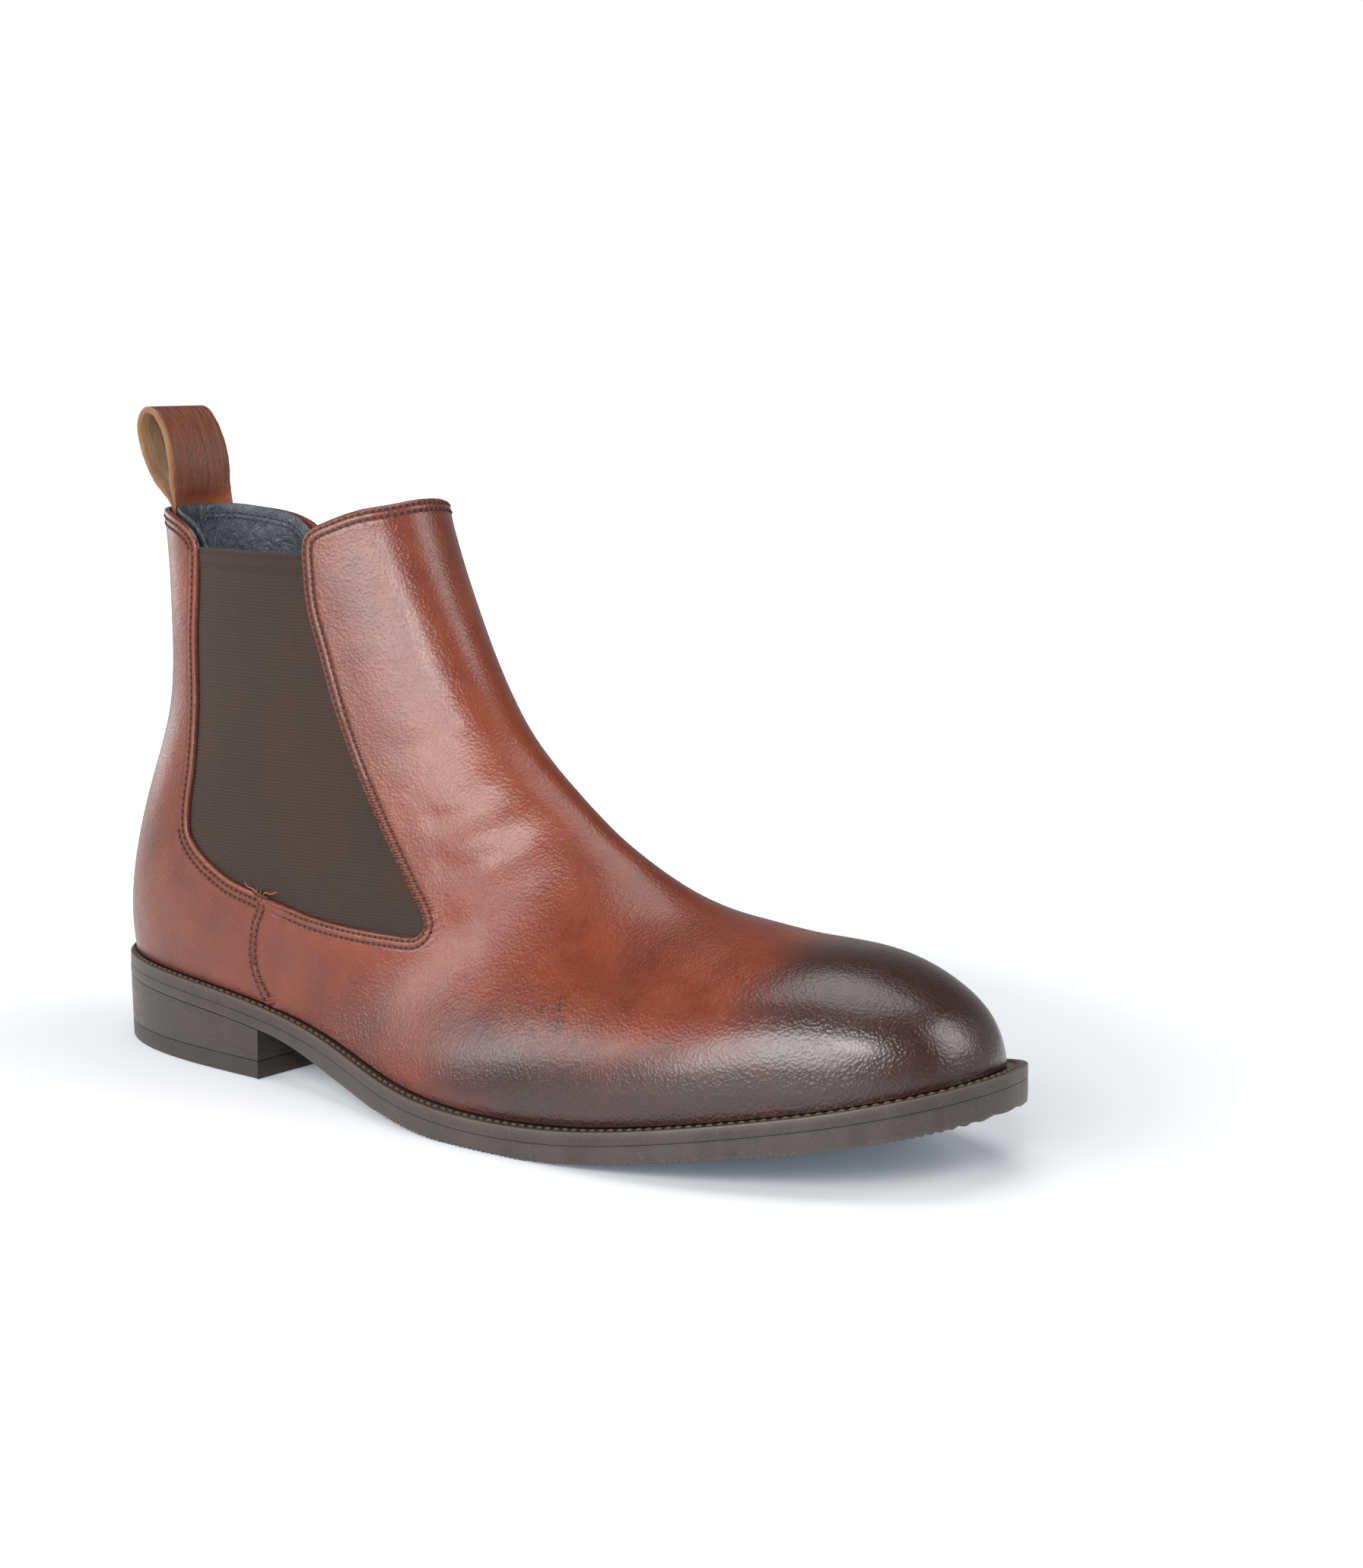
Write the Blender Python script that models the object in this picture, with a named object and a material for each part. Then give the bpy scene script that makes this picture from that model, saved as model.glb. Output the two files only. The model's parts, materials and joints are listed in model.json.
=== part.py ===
"""Chelsea boot, right foot, size 43: bonded and nailed assembly, millimetres inside, metres out."""
import bpy
import bmesh
import math
import numpy as np
from mathutils.geometry import delaunay_2d_cdt

for old in list(bpy.data.objects):
    bpy.data.objects.remove(old, do_unlink=True)

MM = 0.001
HALF_PI = math.pi / 2.0

# ---- driving dimensions (mm) -------------------------------------------------
SOLE_EDGE = 8.8            # welt and outsole together at the forepart
SOLE_EDGE_HEEL = 6.9       # welt and outsole together over the heel block
SOLE_EDGE_TOE = 10.3       # welt and outsole together at the toe tip
WELT_THICK = 3.6
HEEL_LENGTH = 81.0
TOP_PIECE = 5.4            # rubber top piece under the heel block
GAP = 0.35                 # clearance between bonded pieces
OUTER_THICK = 1.4          # vamp and quarter leather
UNDER_IN = 2.1             # gore, counter, puff: outer face depth
UNDER_OUT = 3.2            # gore, counter, puff: inner face depth
COUNTER_OUT = 2.9          # the counter is skived thinner than the elastic
COUNTER_LIFT = 2.2         # lower edge of the counter above the welt
COUNTER_STEP = 4.0         # outline spacing, fine enough for the round of the heel
LINING_IN = 3.8            # lining: outer face depth
LINING_OUT = 4.8           # lining: inner face depth
INSOLE_INSET = 6.6         # insole edge inside the feather line
INSOLE_THICK = 2.2
SOCK_THICK = 1.2
ROW_STEP = 7.5             # mesh spacing along the last
COLUMN_STEP = math.radians(12.0)
COLUMN_SCALE = 34.0        # mm per radian, for an even mesh
EDGE_CLEAR = 3.6           # inner mesh points keep this far from an outline
GORE_TUCK = 8.0            # elastic hidden under the leather edges
LOOP_HALF_WIDTH = 12.0
LOOP_THICK = 2.0
LOOP_AXIS = (20.2, 164.9)  # hinge line of the pull loop, X and Z

# ---- shape of the last: one row per section ----------------------------------
# front X, front Z, back X, back Z, front Y, back Y, half width, widest place,
# roundness of the front half, roundness of the back half
SECTIONS = np.array([
    [111.0, 184.0, 13.0, 180.0, 0.0, 0.0, 28.5, 0.50, 2.10, 2.20],
    [119.0, 160.0, 17.0, 155.0, 0.0, 0.0, 28.5, 0.50, 2.10, 2.20],
    [128.5, 138.0, 18.0, 126.0, 0.0, 0.0, 29.0, 0.46, 2.10, 2.14],
    [137.5, 121.0, 15.0, 100.0, 0.0, 0.0, 29.8, 0.43, 2.10, 2.04],
    [146.0, 108.5, 5.8, 74.0, 0.0, -0.5, 30.8, 0.40, 2.10, 2.08],
    [156.0, 98.0, 0.2, 50.0, 0.0, -1.0, 31.9, 0.37, 2.05, 2.16],
    [167.0, 89.0, -0.5, 29.0, 0.0, -1.0, 32.5, 0.36, 2.00, 2.20],
    [178.5, 80.5, 10.0, 6.0, 0.0, -2.0, 32.5, 0.36, 2.00, 2.20],
    [191.0, 73.0, 48.0, -8.0, 0.0, -5.5, 32.0, 0.36, 2.00, 2.30],
    [204.0, 66.5, 95.0, -8.0, 0.0, -11.0, 34.5, 0.36, 2.00, 2.40],
    [217.5, 61.5, 142.0, -8.0, 0.0, -12.0, 41.5, 0.35, 2.00, 2.40],
    [231.0, 59.0, 180.0, -8.0, 0.0, -6.5, 46.5, 0.35, 2.05, 2.40],
    [244.0, 57.5, 211.0, -7.0, 0.0, -1.5, 48.0, 0.36, 2.10, 2.40],
    [257.0, 57.0, 237.0, -5.0, 0.0, 0.0, 45.0, 0.38, 2.20, 2.40],
    [272.0, 55.5, 260.0, -2.0, 0.0, 0.0, 38.0, 0.40, 2.30, 2.40],
    [286.0, 51.0, 280.0, 3.0, 1.0, 0.5, 30.5, 0.40, 2.30, 2.40],
    [297.0, 44.0, 294.0, 8.0, 2.0, 1.5, 21.5, 0.42, 2.30, 2.40],
    [302.5, 35.0, 302.0, 12.0, 3.0, 2.5, 11.5, 0.45, 2.20, 2.30],
    [304.0, 29.0, 304.0, 15.0, 3.0, 3.0, 0.0, 0.45, 2.00, 2.00],
])
# height of the welt's top face along the boot
WELT_X = [-5.0, 40.0, 80.0, 115.0, 150.0, 180.0, 210.0, 245.0, 280.0, 315.0]
WELT_Z = [27.0, 25.5, 22.0, 16.0, 10.0, 8.4, 10.0, 15.6, 22.4, 31.0]
# how far the welt stands out from the upper, along the boot
REACH_X = [-3.0, 10.0, 35.0, 60.0, 120.0, 180.0, 240.0, 285.0, 312.0]
REACH_W = [0.9, 2.0, 3.1, 3.3, 3.7, 4.6, 4.6, 5.0, 5.6]

# ---- pattern lines on the outer side, seen square from the side (X, Z) -------
QUARTER_TOP = [(16.9, 163.0), (22.0, 162.9), (29.0, 162.0), (35.0, 161.0), (40.0, 159.6),
               (45.2, 157.0), (47.6, 154.0)]
GORE_BACK = [(48.1, 150.5), (47.0, 138.0), (45.8, 125.0), (46.6, 104.0), (47.0, 88.0),
             (46.0, 76.0), (46.8, 69.0), (50.5, 64.8), (56.0, 61.0)]
GORE_FLOOR_BACK = [(64.0, 57.2), (71.0, 55.2), (77.4, 53.9)]
GORE_FLOOR_FRONT = [(79.0, 53.5), (87.4, 51.6), (96.5, 49.7), (108.0, 48.4), (120.0, 47.8),
                    (131.8, 47.7)]
GORE_TIP = [(136.4, 48.4), (138.3, 51.0), (136.6, 54.2)]
VAMP_REAR = [(131.2, 61.0), (122.6, 73.0), (111.6, 91.2), (104.0, 107.0), (97.4, 124.8),
             (92.9, 137.6), (90.9, 151.4)]
VAMP_TOP = [(90.8, 155.4), (91.7, 158.2), (93.9, 160.2), (97.6, 162.0), (105.9, 165.4),
            (113.0, 167.2)]
VAMP_PEAK_Z = 168.4
SEAM = [(77.8, 50.6), (75.8, 46.0), (74.9, 41.0), (74.8, 36.0), (75.8, 31.0), (79.0, 25.5)]
SEAM_FOOT_X = 82.0
LINING_BACK = [(57.5, 147.5), (59.0, 143.0), (59.0, 120.0), (59.0, 90.0), (60.0, 76.0),
               (64.0, 69.0), (70.0, 66.0), (76.0, 64.0)]
LINING_FRONT = [(80.0, 62.8), (92.0, 60.0), (106.0, 58.2), (116.0, 58.6), (119.5, 61.0),
                (118.0, 65.0), (111.0, 75.0), (101.0, 91.0), (94.0, 107.0), (87.5, 124.0),
                (83.5, 136.0), (82.6, 145.0), (86.0, 149.5), (91.6, 152.5), (93.0, 157.2), (97.5, 160.6)]
COUNTER_TOP = [(6.0, 70.0), (18.0, 69.0), (28.0, 62.0), (38.0, 52.0), (48.0, 46.0), (58.0, 42.0),
               (64.0, 37.0), (67.0, 31.0)]
COUNTER_FOOT_X = 68.5
TAIL_BOTTOM_Z = 146.0
PUFF_START_X = 262.0

# pull loop side profile (X, Z), middle line of the strap, root to root
LOOP_PROFILE = [(20.2, 165.3), (21.3, 168.5), (21.6, 173.0), (20.9, 178.5), (19.4, 183.5),
                (17.0, 188.0), (13.6, 191.5), (10.2, 191.9), (7.9, 189.4), (7.5, 185.8),
                (9.6, 179.4), (13.1, 173.2), (16.9, 168.2)]


# ---- curves and the surface of the last --------------------------------------
def spline(knots, values):
    """Natural cubic spline through the knots."""
    x = np.asarray(knots, float)
    y = np.asarray(values, float)
    n = len(x)
    h = np.diff(x)
    a = np.zeros((n, n))
    r = np.zeros(y.shape)
    a[0, 0] = 1.0
    a[-1, -1] = 1.0
    for i in range(1, n - 1):
        a[i, i - 1] = h[i - 1]
        a[i, i] = 2.0 * (h[i - 1] + h[i])
        a[i, i + 1] = h[i]
        r[i] = 6.0 * ((y[i + 1] - y[i]) / h[i] - (y[i] - y[i - 1]) / h[i - 1])
    m = np.linalg.solve(a, r)

    def at(t):
        t = np.asarray(t, float)
        i = np.clip(np.searchsorted(x, t) - 1, 0, n - 2)
        d = t - x[i]
        hi = h[i]
        if y.ndim == 2:
            d = d[..., None]
            hi = hi[..., None]
        slope = (y[i + 1] - y[i]) / hi - hi * (2.0 * m[i] + m[i + 1]) / 6.0
        return y[i] + d * (slope + d * (m[i] / 2.0 + d * (m[i + 1] - m[i]) / (6.0 * hi)))
    return at


def section_table():
    """Sections along the last, mirrored past the toe so the toe closes round."""
    front = np.diff(SECTIONS[:, 0:2], axis=0)
    back = np.diff(SECTIONS[:, 2:4], axis=0)
    width = np.diff(SECTIONS[:, 6])
    step = np.sqrt(0.6 * (front ** 2).sum(1) + 0.4 * (back ** 2).sum(1) + width ** 2)
    t = np.concatenate([[0.0], np.cumsum(step)])
    mirror = SECTIONS[-4:-1][::-1].copy()
    mirror[:, 6] *= -1.0
    knots = np.concatenate([t, 2.0 * t[-1] - t[-4:-1][::-1]])
    return t[-1], spline(knots, np.vstack([SECTIONS, mirror]))


T_END, SECTION_AT = section_table()
WELT_TOP = spline(WELT_X, WELT_Z)
REACH = spline(REACH_X, REACH_W)


def surface(t, angle):
    """Outer face of the upper: t runs collar to toe, angle runs round the section."""
    q = SECTION_AT(t)
    s = np.sin(angle)
    c = np.cos(angle)
    n = np.where(s >= 0.0, q[..., 8], q[..., 9])
    widest = q[..., 7]
    reach = np.abs(s) ** (2.0 / n)
    u = np.where(s >= 0.0, widest + (1.0 - widest) * reach, widest - widest * reach)
    v = -np.sign(c) * np.abs(c) ** (2.0 / n) * np.maximum(q[..., 6], 0.0)
    x = q[..., 2] + u * (q[..., 0] - q[..., 2])
    y = v + q[..., 5] + u * (q[..., 4] - q[..., 5])
    z = q[..., 3] + u * (q[..., 1] - q[..., 3])
    return np.stack([x, y, z], -1)


def raw_normal(t, angle):
    dt = 0.4
    da = 0.02
    along = surface(t + dt, angle) - surface(t - dt, angle)
    around = surface(t, angle + da) - surface(t, angle - da)
    n = np.cross(along, around)
    return n / np.maximum(np.linalg.norm(n, axis=-1, keepdims=True), 1e-9)


def normal(t, angle):
    """Outward direction; the two sides share one direction along the toe line."""
    t = np.asarray(t, float)
    angle = np.asarray(angle, float)
    inside = np.clip(t, 0.5, T_END - 1.5)
    own = raw_normal(inside, angle)
    other = raw_normal(inside, math.pi - angle)
    w = 0.5 * np.clip((t - (T_END - 2.0)) / 2.0, 0.0, 1.0)[..., None]
    n = own * (1.0 - w) + other * w
    return n / np.linalg.norm(n, axis=-1, keepdims=True)


def shell_point(t, angle, depth):
    return surface(t, angle) - depth * normal(t, angle)


T_FINE = np.linspace(0.0, T_END, 1601)
Q_FINE = SECTION_AT(T_FINE)


def locate(x, z):
    """Side-view point to (t, angle) on the outer side of the last."""
    fx = Q_FINE[:, 0] - Q_FINE[:, 2]
    fz = Q_FINE[:, 1] - Q_FINE[:, 3]
    side = fx * (z - Q_FINE[:, 3]) - fz * (x - Q_FINE[:, 2])
    u = (fx * (x - Q_FINE[:, 2]) + fz * (z - Q_FINE[:, 3])) / (fx ** 2 + fz ** 2)
    cross = np.where((side[:-1] * side[1:] <= 0.0) & (u[:-1] > -0.3) & (u[:-1] < 1.3))[0]
    i = cross[0]
    w = side[i] / (side[i] - side[i + 1])
    t = T_FINE[i] + w * (T_FINE[i + 1] - T_FINE[i])
    q = SECTION_AT(t)
    d = np.array([q[0] - q[2], q[1] - q[3]])
    u = float(np.clip(((x - q[2]) * d[0] + (z - q[3]) * d[1]) / (d @ d), 0.0, 1.0))
    if u >= q[7]:
        return t, math.asin(min(1.0, ((u - q[7]) / (1.0 - q[7])) ** (q[8] / 2.0)))
    return t, -math.asin(min(1.0, ((q[7] - u) / q[7]) ** (q[9] / 2.0)))


def feather_angle(t, medial, lift):
    """Angle where the section meets the welt's top face."""
    a = np.linspace(-HALF_PI, HALF_PI, 900)
    p = surface(np.full(a.shape, t), math.pi - a if medial else a)
    g = p[:, 2] - WELT_TOP(p[:, 0]) - lift
    cross = np.where((g[:-1] < 0.0) & (g[1:] >= 0.0))[0]
    if len(cross) == 0:
        return None
    i = cross[0]
    return float(a[i] - g[i] / (g[i + 1] - g[i]) * (a[i + 1] - a[i]))


def heel_back_t(lift):
    """Where the back line of the last meets the welt."""
    x = Q_FINE[:, 2]
    g = Q_FINE[:, 3] - WELT_TOP(x) - lift
    i = np.where((g[:-1] >= 0.0) & (g[1:] < 0.0))[0][0]
    w = g[i] / (g[i] - g[i + 1])
    return T_FINE[i] + w * (T_FINE[i + 1] - T_FINE[i])


def feather_line(t_from, t_to, medial, lift=GAP, step=6.0):
    """Even points (t, angle) along the feather line, outer-side angles."""
    s = np.linspace(0.0, 1.0, 260)
    low = min(t_from, t_to)
    high = max(t_from, t_to)
    line = []
    for t in low + (high - low) * s ** 2:
        a = feather_angle(t, medial, lift)
        if a is not None:
            line.append((float(t), a))
    if t_from > t_to:
        line.reverse()
    p = np.array([surface(t, math.pi - a if medial else a) for t, a in line])
    d = np.concatenate([[0.0], np.cumsum(np.linalg.norm(np.diff(p, axis=0), axis=1))])
    marks = np.linspace(0.0, d[-1], max(2, int(round(d[-1] / step)) + 1))
    ts = np.interp(marks, d, [q[0] for q in line])
    angles = np.interp(marks, d, [q[1] for q in line])
    return [(float(t), float(a)) for t, a in zip(ts, angles)]


def feather_t_at(x_goal, medial, lift=GAP):
    """t at which the feather line passes a given X."""
    lo = heel_back_t(lift) + 0.01
    hi = T_END
    for _ in range(40):
        mid = 0.5 * (lo + hi)
        a = feather_angle(mid, medial, lift)
        x = -1e3 if a is None else surface(mid, math.pi - a if medial else a)[0]
        if x < x_goal:
            lo = mid
        else:
            hi = mid
    return 0.5 * (lo + hi)


# ---- flat filling and solid building -----------------------------------------
def inside(poly, pts):
    """Even-odd test of points against one closed polygon."""
    x = pts[:, 0]
    y = pts[:, 1]
    hit = np.zeros(len(pts), bool)
    n = len(poly)
    for i in range(n):
        x0, y0 = poly[i]
        x1, y1 = poly[(i + 1) % n]
        if y0 == y1:
            continue
        span = (y0 > y) != (y1 > y)
        hit ^= span & (x < (x1 - x0) * (y - y0) / (y1 - y0) + x0)
    return hit


def edge_distance(poly, pts):
    best = np.full(len(pts), 1e9)
    n = len(poly)
    for i in range(n):
        a = np.asarray(poly[i])
        b = np.asarray(poly[(i + 1) % n])
        ab = b - a
        s = np.clip(((pts - a) @ ab) / max(float(ab @ ab), 1e-12), 0.0, 1.0)
        best = np.minimum(best, np.linalg.norm(pts - a - s[:, None] * ab, axis=1))
    return best


def fill(loops, lattice, clear):
    """Triangulate the first loop minus the others, with lattice points inside."""
    keep = inside(loops[0], lattice)
    for hole in loops[1:]:
        keep &= ~inside(hole, lattice)
    for loop in loops:
        keep &= edge_distance(loop, lattice) > clear
    pts = [tuple(p) for loop in loops for p in loop] + [tuple(p) for p in lattice[keep]]
    edges = []
    start = 0
    for loop in loops:
        n = len(loop)
        edges += [(start + i, start + (i + 1) % n) for i in range(n)]
        start += n
    out = delaunay_2d_cdt([tuple(map(float, p)) for p in pts], edges, [], 0, 1e-7, False)
    flat = np.array([(v[0], v[1]) for v in out[0]])
    tris = [f for f in out[2]]
    mid = np.array([flat[list(f)].mean(axis=0) for f in tris])
    good = inside(loops[0], mid)
    for hole in loops[1:]:
        good &= ~inside(hole, mid)
    return flat, [tris[i] for i in range(len(tris)) if good[i]]


def open_edges(tris):
    seen = {}
    for f in tris:
        for i in range(len(f)):
            a = f[i]
            b = f[(i + 1) % len(f)]
            key = (min(a, b), max(a, b))
            seen[key] = None if key in seen else (a, b)
    return [e for e in seen.values() if e is not None]


def material(name, colour, roughness, metallic=0.0):
    m = bpy.data.materials.new(name)
    m.use_nodes = True
    b = m.node_tree.nodes["Principled BSDF"]
    b.inputs["Base Color"].default_value = (*colour, 1.0)
    b.inputs["Roughness"].default_value = roughness
    b.inputs["Metallic"].default_value = metallic
    return m


PLACE = np.zeros(3)


def add_object(name, verts, faces, mat, smooth=True, parent=None, origin=None):
    """One closed body, given in mm in the boot's own frame."""
    origin = np.zeros(3) if origin is None else np.asarray(origin, float)
    world = (np.asarray(verts, float) - PLACE) * MM
    mesh = bpy.data.meshes.new(name)
    mesh.from_pydata([tuple(p) for p in world - origin], [], [tuple(f) for f in faces])
    bm = bmesh.new()
    bm.from_mesh(mesh)
    bmesh.ops.remove_doubles(bm, verts=bm.verts, dist=1e-7)
    bmesh.ops.triangulate(bm, faces=bm.faces)
    bmesh.ops.recalc_face_normals(bm, faces=bm.faces)
    for f in bm.faces:
        f.smooth = smooth
    bm.to_mesh(mesh)
    bm.free()
    mesh.materials.append(mat)
    if smooth:
        mesh.set_sharp_from_angle(angle=math.radians(40.0))
    ob = bpy.data.objects.new(name, mesh)
    bpy.context.scene.collection.objects.link(ob)
    ob.location = origin
    if parent is not None:
        ob.parent = parent
        ob.location = (0.0, 0.0, 0.0)
    return ob


ROWS = np.concatenate([np.arange(6.0, T_END - 62.0, ROW_STEP), np.linspace(T_END - 60.0, T_END, 11)])
COLUMNS = np.arange(-3.0 * HALF_PI, 3.0 * HALF_PI + 0.01, COLUMN_STEP)
LATTICE = np.array([(t, a * COLUMN_SCALE) for t in ROWS for a in COLUMNS])


def resample(line, step):
    """Even points along an open (t, angle) line, ends kept."""
    p = np.array([(t, a * COLUMN_SCALE) for t, a in line])
    d = np.concatenate([[0.0], np.cumsum(np.linalg.norm(np.diff(p, axis=0), axis=1))])
    n = max(1, int(round(d[-1] / step)))
    s = np.linspace(0.0, d[-1], n + 1)
    return [(float(np.interp(k, d, p[:, 0])), float(np.interp(k, d, p[:, 1])) / COLUMN_SCALE)
            for k in s]


def pattern(points):
    return [locate(x, z) for x, z in points]


def skin(name, loop, outer, inner, mat):
    """A leather piece: loop in (t, angle), between two depths under the surface."""
    flat_loop = [(t, a * COLUMN_SCALE) for t, a in loop]
    flat, tris = fill([flat_loop], LATTICE, EDGE_CLEAR)
    t = np.minimum(flat[:, 0], T_END)
    a = flat[:, 1] / COLUMN_SCALE
    n = len(flat)
    verts = np.vstack([shell_point(t, a, outer), shell_point(t, a, inner)])
    verts[:, 2] = np.maximum(verts[:, 2], WELT_TOP(verts[:, 0]) + GAP)
    faces = [tuple(f) for f in tris] + [tuple(n + i for i in reversed(f)) for f in tris]
    for i, j in open_edges(tris):
        if t[i] > T_END - 1e-6 and t[j] > T_END - 1e-6:
            continue
        faces.append((i, n + i, n + j, j))
    return add_object(name, verts, faces, mat)


def mirror_line(line):
    """The same line on the other side, for pieces that wrap round the front."""
    return [(t, math.pi - a) for t, a in reversed(line)]


def mirror_back(line):
    """The same line on the other side, for pieces that wrap round the heel."""
    return [(t, -math.pi - a) for t, a in reversed(line)]


def without_repeats(loop):
    kept = []
    for p in loop:
        if not kept or abs(p[0] - kept[-1][0]) + abs(p[1] - kept[-1][1]) * COLUMN_SCALE > 0.8:
            kept.append(p)
    first = kept[0]
    last = kept[-1]
    if abs(first[0] - last[0]) + abs(first[1] - last[1]) * COLUMN_SCALE < 0.8:
        kept.pop()
    return kept


def toe_line(lift):
    """The closing line of the toe, feather to top, matching on both sides."""
    low = feather_angle(T_END, False, lift)
    marks = [a for a in COLUMNS if low + 0.12 < a < HALF_PI + 0.001]
    return [(T_END, low)] + [(T_END, float(a)) for a in marks]


def slab(name, loops, top, bottom, mat, step=11.0):
    """A sole layer: plan loops (X, Y) between two height curves of X."""
    box = np.array(loops[0])
    xs = np.arange(box[:, 0].min(), box[:, 0].max(), step)
    ys = np.arange(box[:, 1].min(), box[:, 1].max(), step)
    lattice = np.array([(x, y) for x in xs for y in ys])
    flat, tris = fill(loops, lattice, step * 0.4)
    n = len(flat)
    up = np.column_stack([flat, top(flat[:, 0])])
    down = np.column_stack([flat, bottom(flat[:, 0])])
    faces = [tuple(f) for f in tris] + [tuple(n + i for i in reversed(f)) for f in tris]
    faces += [(i, n + i, n + j, j) for i, j in open_edges(tris)]
    return add_object(name, np.vstack([up, down]), faces, mat)


# ---- plan outlines ------------------------------------------------------------
def smooth_closed(points, count):
    p = np.asarray(points, float)
    p = np.vstack([p, p[:1]])
    d = np.concatenate([[0.0], np.cumsum(np.linalg.norm(np.diff(p, axis=0), axis=1))])
    s = np.linspace(0.0, d[-1], count, endpoint=False)
    return np.column_stack([np.interp(s, d, p[:, 0]), np.interp(s, d, p[:, 1])])


def feather_plan(count=120):
    """Plan of the upper where it meets the welt, outer side first, heel to toe."""
    start = heel_back_t(0.0) + 0.02
    ts = start + (T_END - start) * (1.0 - np.cos(np.linspace(0.0, math.pi, 260))) / 2.0
    outer = []
    inner = []
    for t in ts:
        a = feather_angle(t, False, 0.0)
        b = feather_angle(t, True, 0.0)
        if a is not None and b is not None:
            outer.append(surface(t, a)[:2])
            inner.append(surface(t, math.pi - b)[:2])
    loop = np.array(outer + inner[::-1])
    return smooth_closed(loop, count)


def plan_normals(p):
    tangent = np.roll(p, -1, axis=0) - np.roll(p, 1, axis=0)
    tangent /= np.linalg.norm(tangent, axis=1)[:, None]
    return np.column_stack([tangent[:, 1], -tangent[:, 0]])


FEATHER = feather_plan()
OUTWARD = plan_normals(FEATHER)
SOLE_PLAN = FEATHER + OUTWARD * REACH(FEATHER[:, 0])[:, None]
PLACE[:] = [(SOLE_PLAN[:, 0].min() + SOLE_PLAN[:, 0].max()) / 2.0,
            (SOLE_PLAN[:, 1].min() + SOLE_PLAN[:, 1].max()) / 2.0, 0.0]


def blend_step(x, lo, hi):
    s = np.clip((x - lo) / (hi - lo), 0.0, 1.0)
    return s * s * (3.0 - 2.0 * s)


def sole_edge(x):
    forepart = (SOLE_EDGE - SOLE_EDGE_HEEL) * blend_step(x, HEEL_LENGTH + 4.0, 118.0)
    return SOLE_EDGE_HEEL + forepart + (SOLE_EDGE_TOE - SOLE_EDGE) * blend_step(x, 225.0, 305.0)


def raise_floor(z):
    """Keep the tread at or above the ground."""
    return np.maximum(z, 0.0)


def outsole_bottom(x):
    return raise_floor(WELT_TOP(x) - sole_edge(x))


def welt_bottom(x):
    return WELT_TOP(x) - WELT_THICK


# ---- materials ------------------------------------------------------------------
UPPER = material("cognac_leather", (0.21, 0.062, 0.034), 0.38)
GORE = material("brown_elastic", (0.045, 0.028, 0.022), 0.85)
LINING = material("navy_lining_leather", (0.022, 0.030, 0.045), 0.5)
SUEDE = material("strap_leather", (0.19, 0.065, 0.036), 0.5)
BOARD = material("insole_board", (0.55, 0.42, 0.28), 0.8)
CORK = material("cork", (0.42, 0.26, 0.14), 0.9)
STIFF = material("stiffener_board", (0.60, 0.52, 0.40), 0.8)
WELT_MAT = material("dark_welt", (0.030, 0.022, 0.019), 0.45)
RUBBER = material("dark_rubber", (0.028, 0.023, 0.021), 0.55)
HEEL_MAT = material("heel_stack", (0.032, 0.024, 0.021), 0.42)
STEEL = material("shank_steel", (0.55, 0.55, 0.56), 0.35, 1.0)
THREAD = material("brown_thread", (0.16, 0.11, 0.06), 0.8)

# ---- sole -----------------------------------------------------------------------
sole_loop = [tuple(p) for p in SOLE_PLAN]
rand_hole = [tuple(p) for p in smooth_closed(FEATHER - OUTWARD * 8.0, 72)]
slab("outsole", [sole_loop], lambda x: welt_bottom(x) - GAP, outsole_bottom, RUBBER)
slab("welt", [sole_loop, rand_hole], WELT_TOP, welt_bottom, WELT_MAT)


def heel_plan(cut_x):
    """Sole plan behind a straight breast line."""
    p = SOLE_PLAN
    loop = [tuple(q) for q in p if q[0] < cut_x - 1.5]
    order = np.argsort([math.atan2(q[1], cut_x - q[0]) for q in loop])
    ring = [loop[i] for i in order]
    y_outer = float(np.interp(cut_x, *cut_side(p, -1.0)))
    y_inner = float(np.interp(cut_x, *cut_side(p, 1.0)))
    breast = [(cut_x, y) for y in np.linspace(y_inner, y_outer, 7)]
    return ring + breast


def cut_side(p, sign):
    q = p[p[:, 1] * sign > 0.0]
    q = q[np.argsort(q[:, 0])]
    return q[:, 0], q[:, 1]


heel_loop = heel_plan(HEEL_LENGTH)
slab("heel_block", [heel_loop], lambda x: outsole_bottom(x) - GAP,
     lambda x: 0.0 * x + TOP_PIECE + GAP, HEEL_MAT)
slab("heel_top_piece", [heel_loop], lambda x: 0.0 * x + TOP_PIECE, lambda x: 0.0 * x, RUBBER)

shank_y = -4.0
shank_loop = [(42.0, shank_y - 7.0), (80.0, shank_y - 7.5), (118.0, shank_y - 7.0),
              (126.0, shank_y - 3.5), (126.0, shank_y + 3.5), (118.0, shank_y + 7.0),
              (80.0, shank_y + 7.5), (42.0, shank_y + 7.0), (38.0, shank_y)]
slab("shank", [shank_loop], lambda x: WELT_TOP(x) - 0.9, lambda x: WELT_TOP(x) - 2.9, STEEL)
filler_loop = [tuple(p) for p in smooth_closed(
    [q for q in FEATHER - OUTWARD * (8.0 + GAP + 0.25) if q[0] > 130.0], 56)]
slab("cork_filler", [filler_loop], lambda x: WELT_TOP(x) - 0.1,
     lambda x: welt_bottom(x) + 0.05, CORK)

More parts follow.
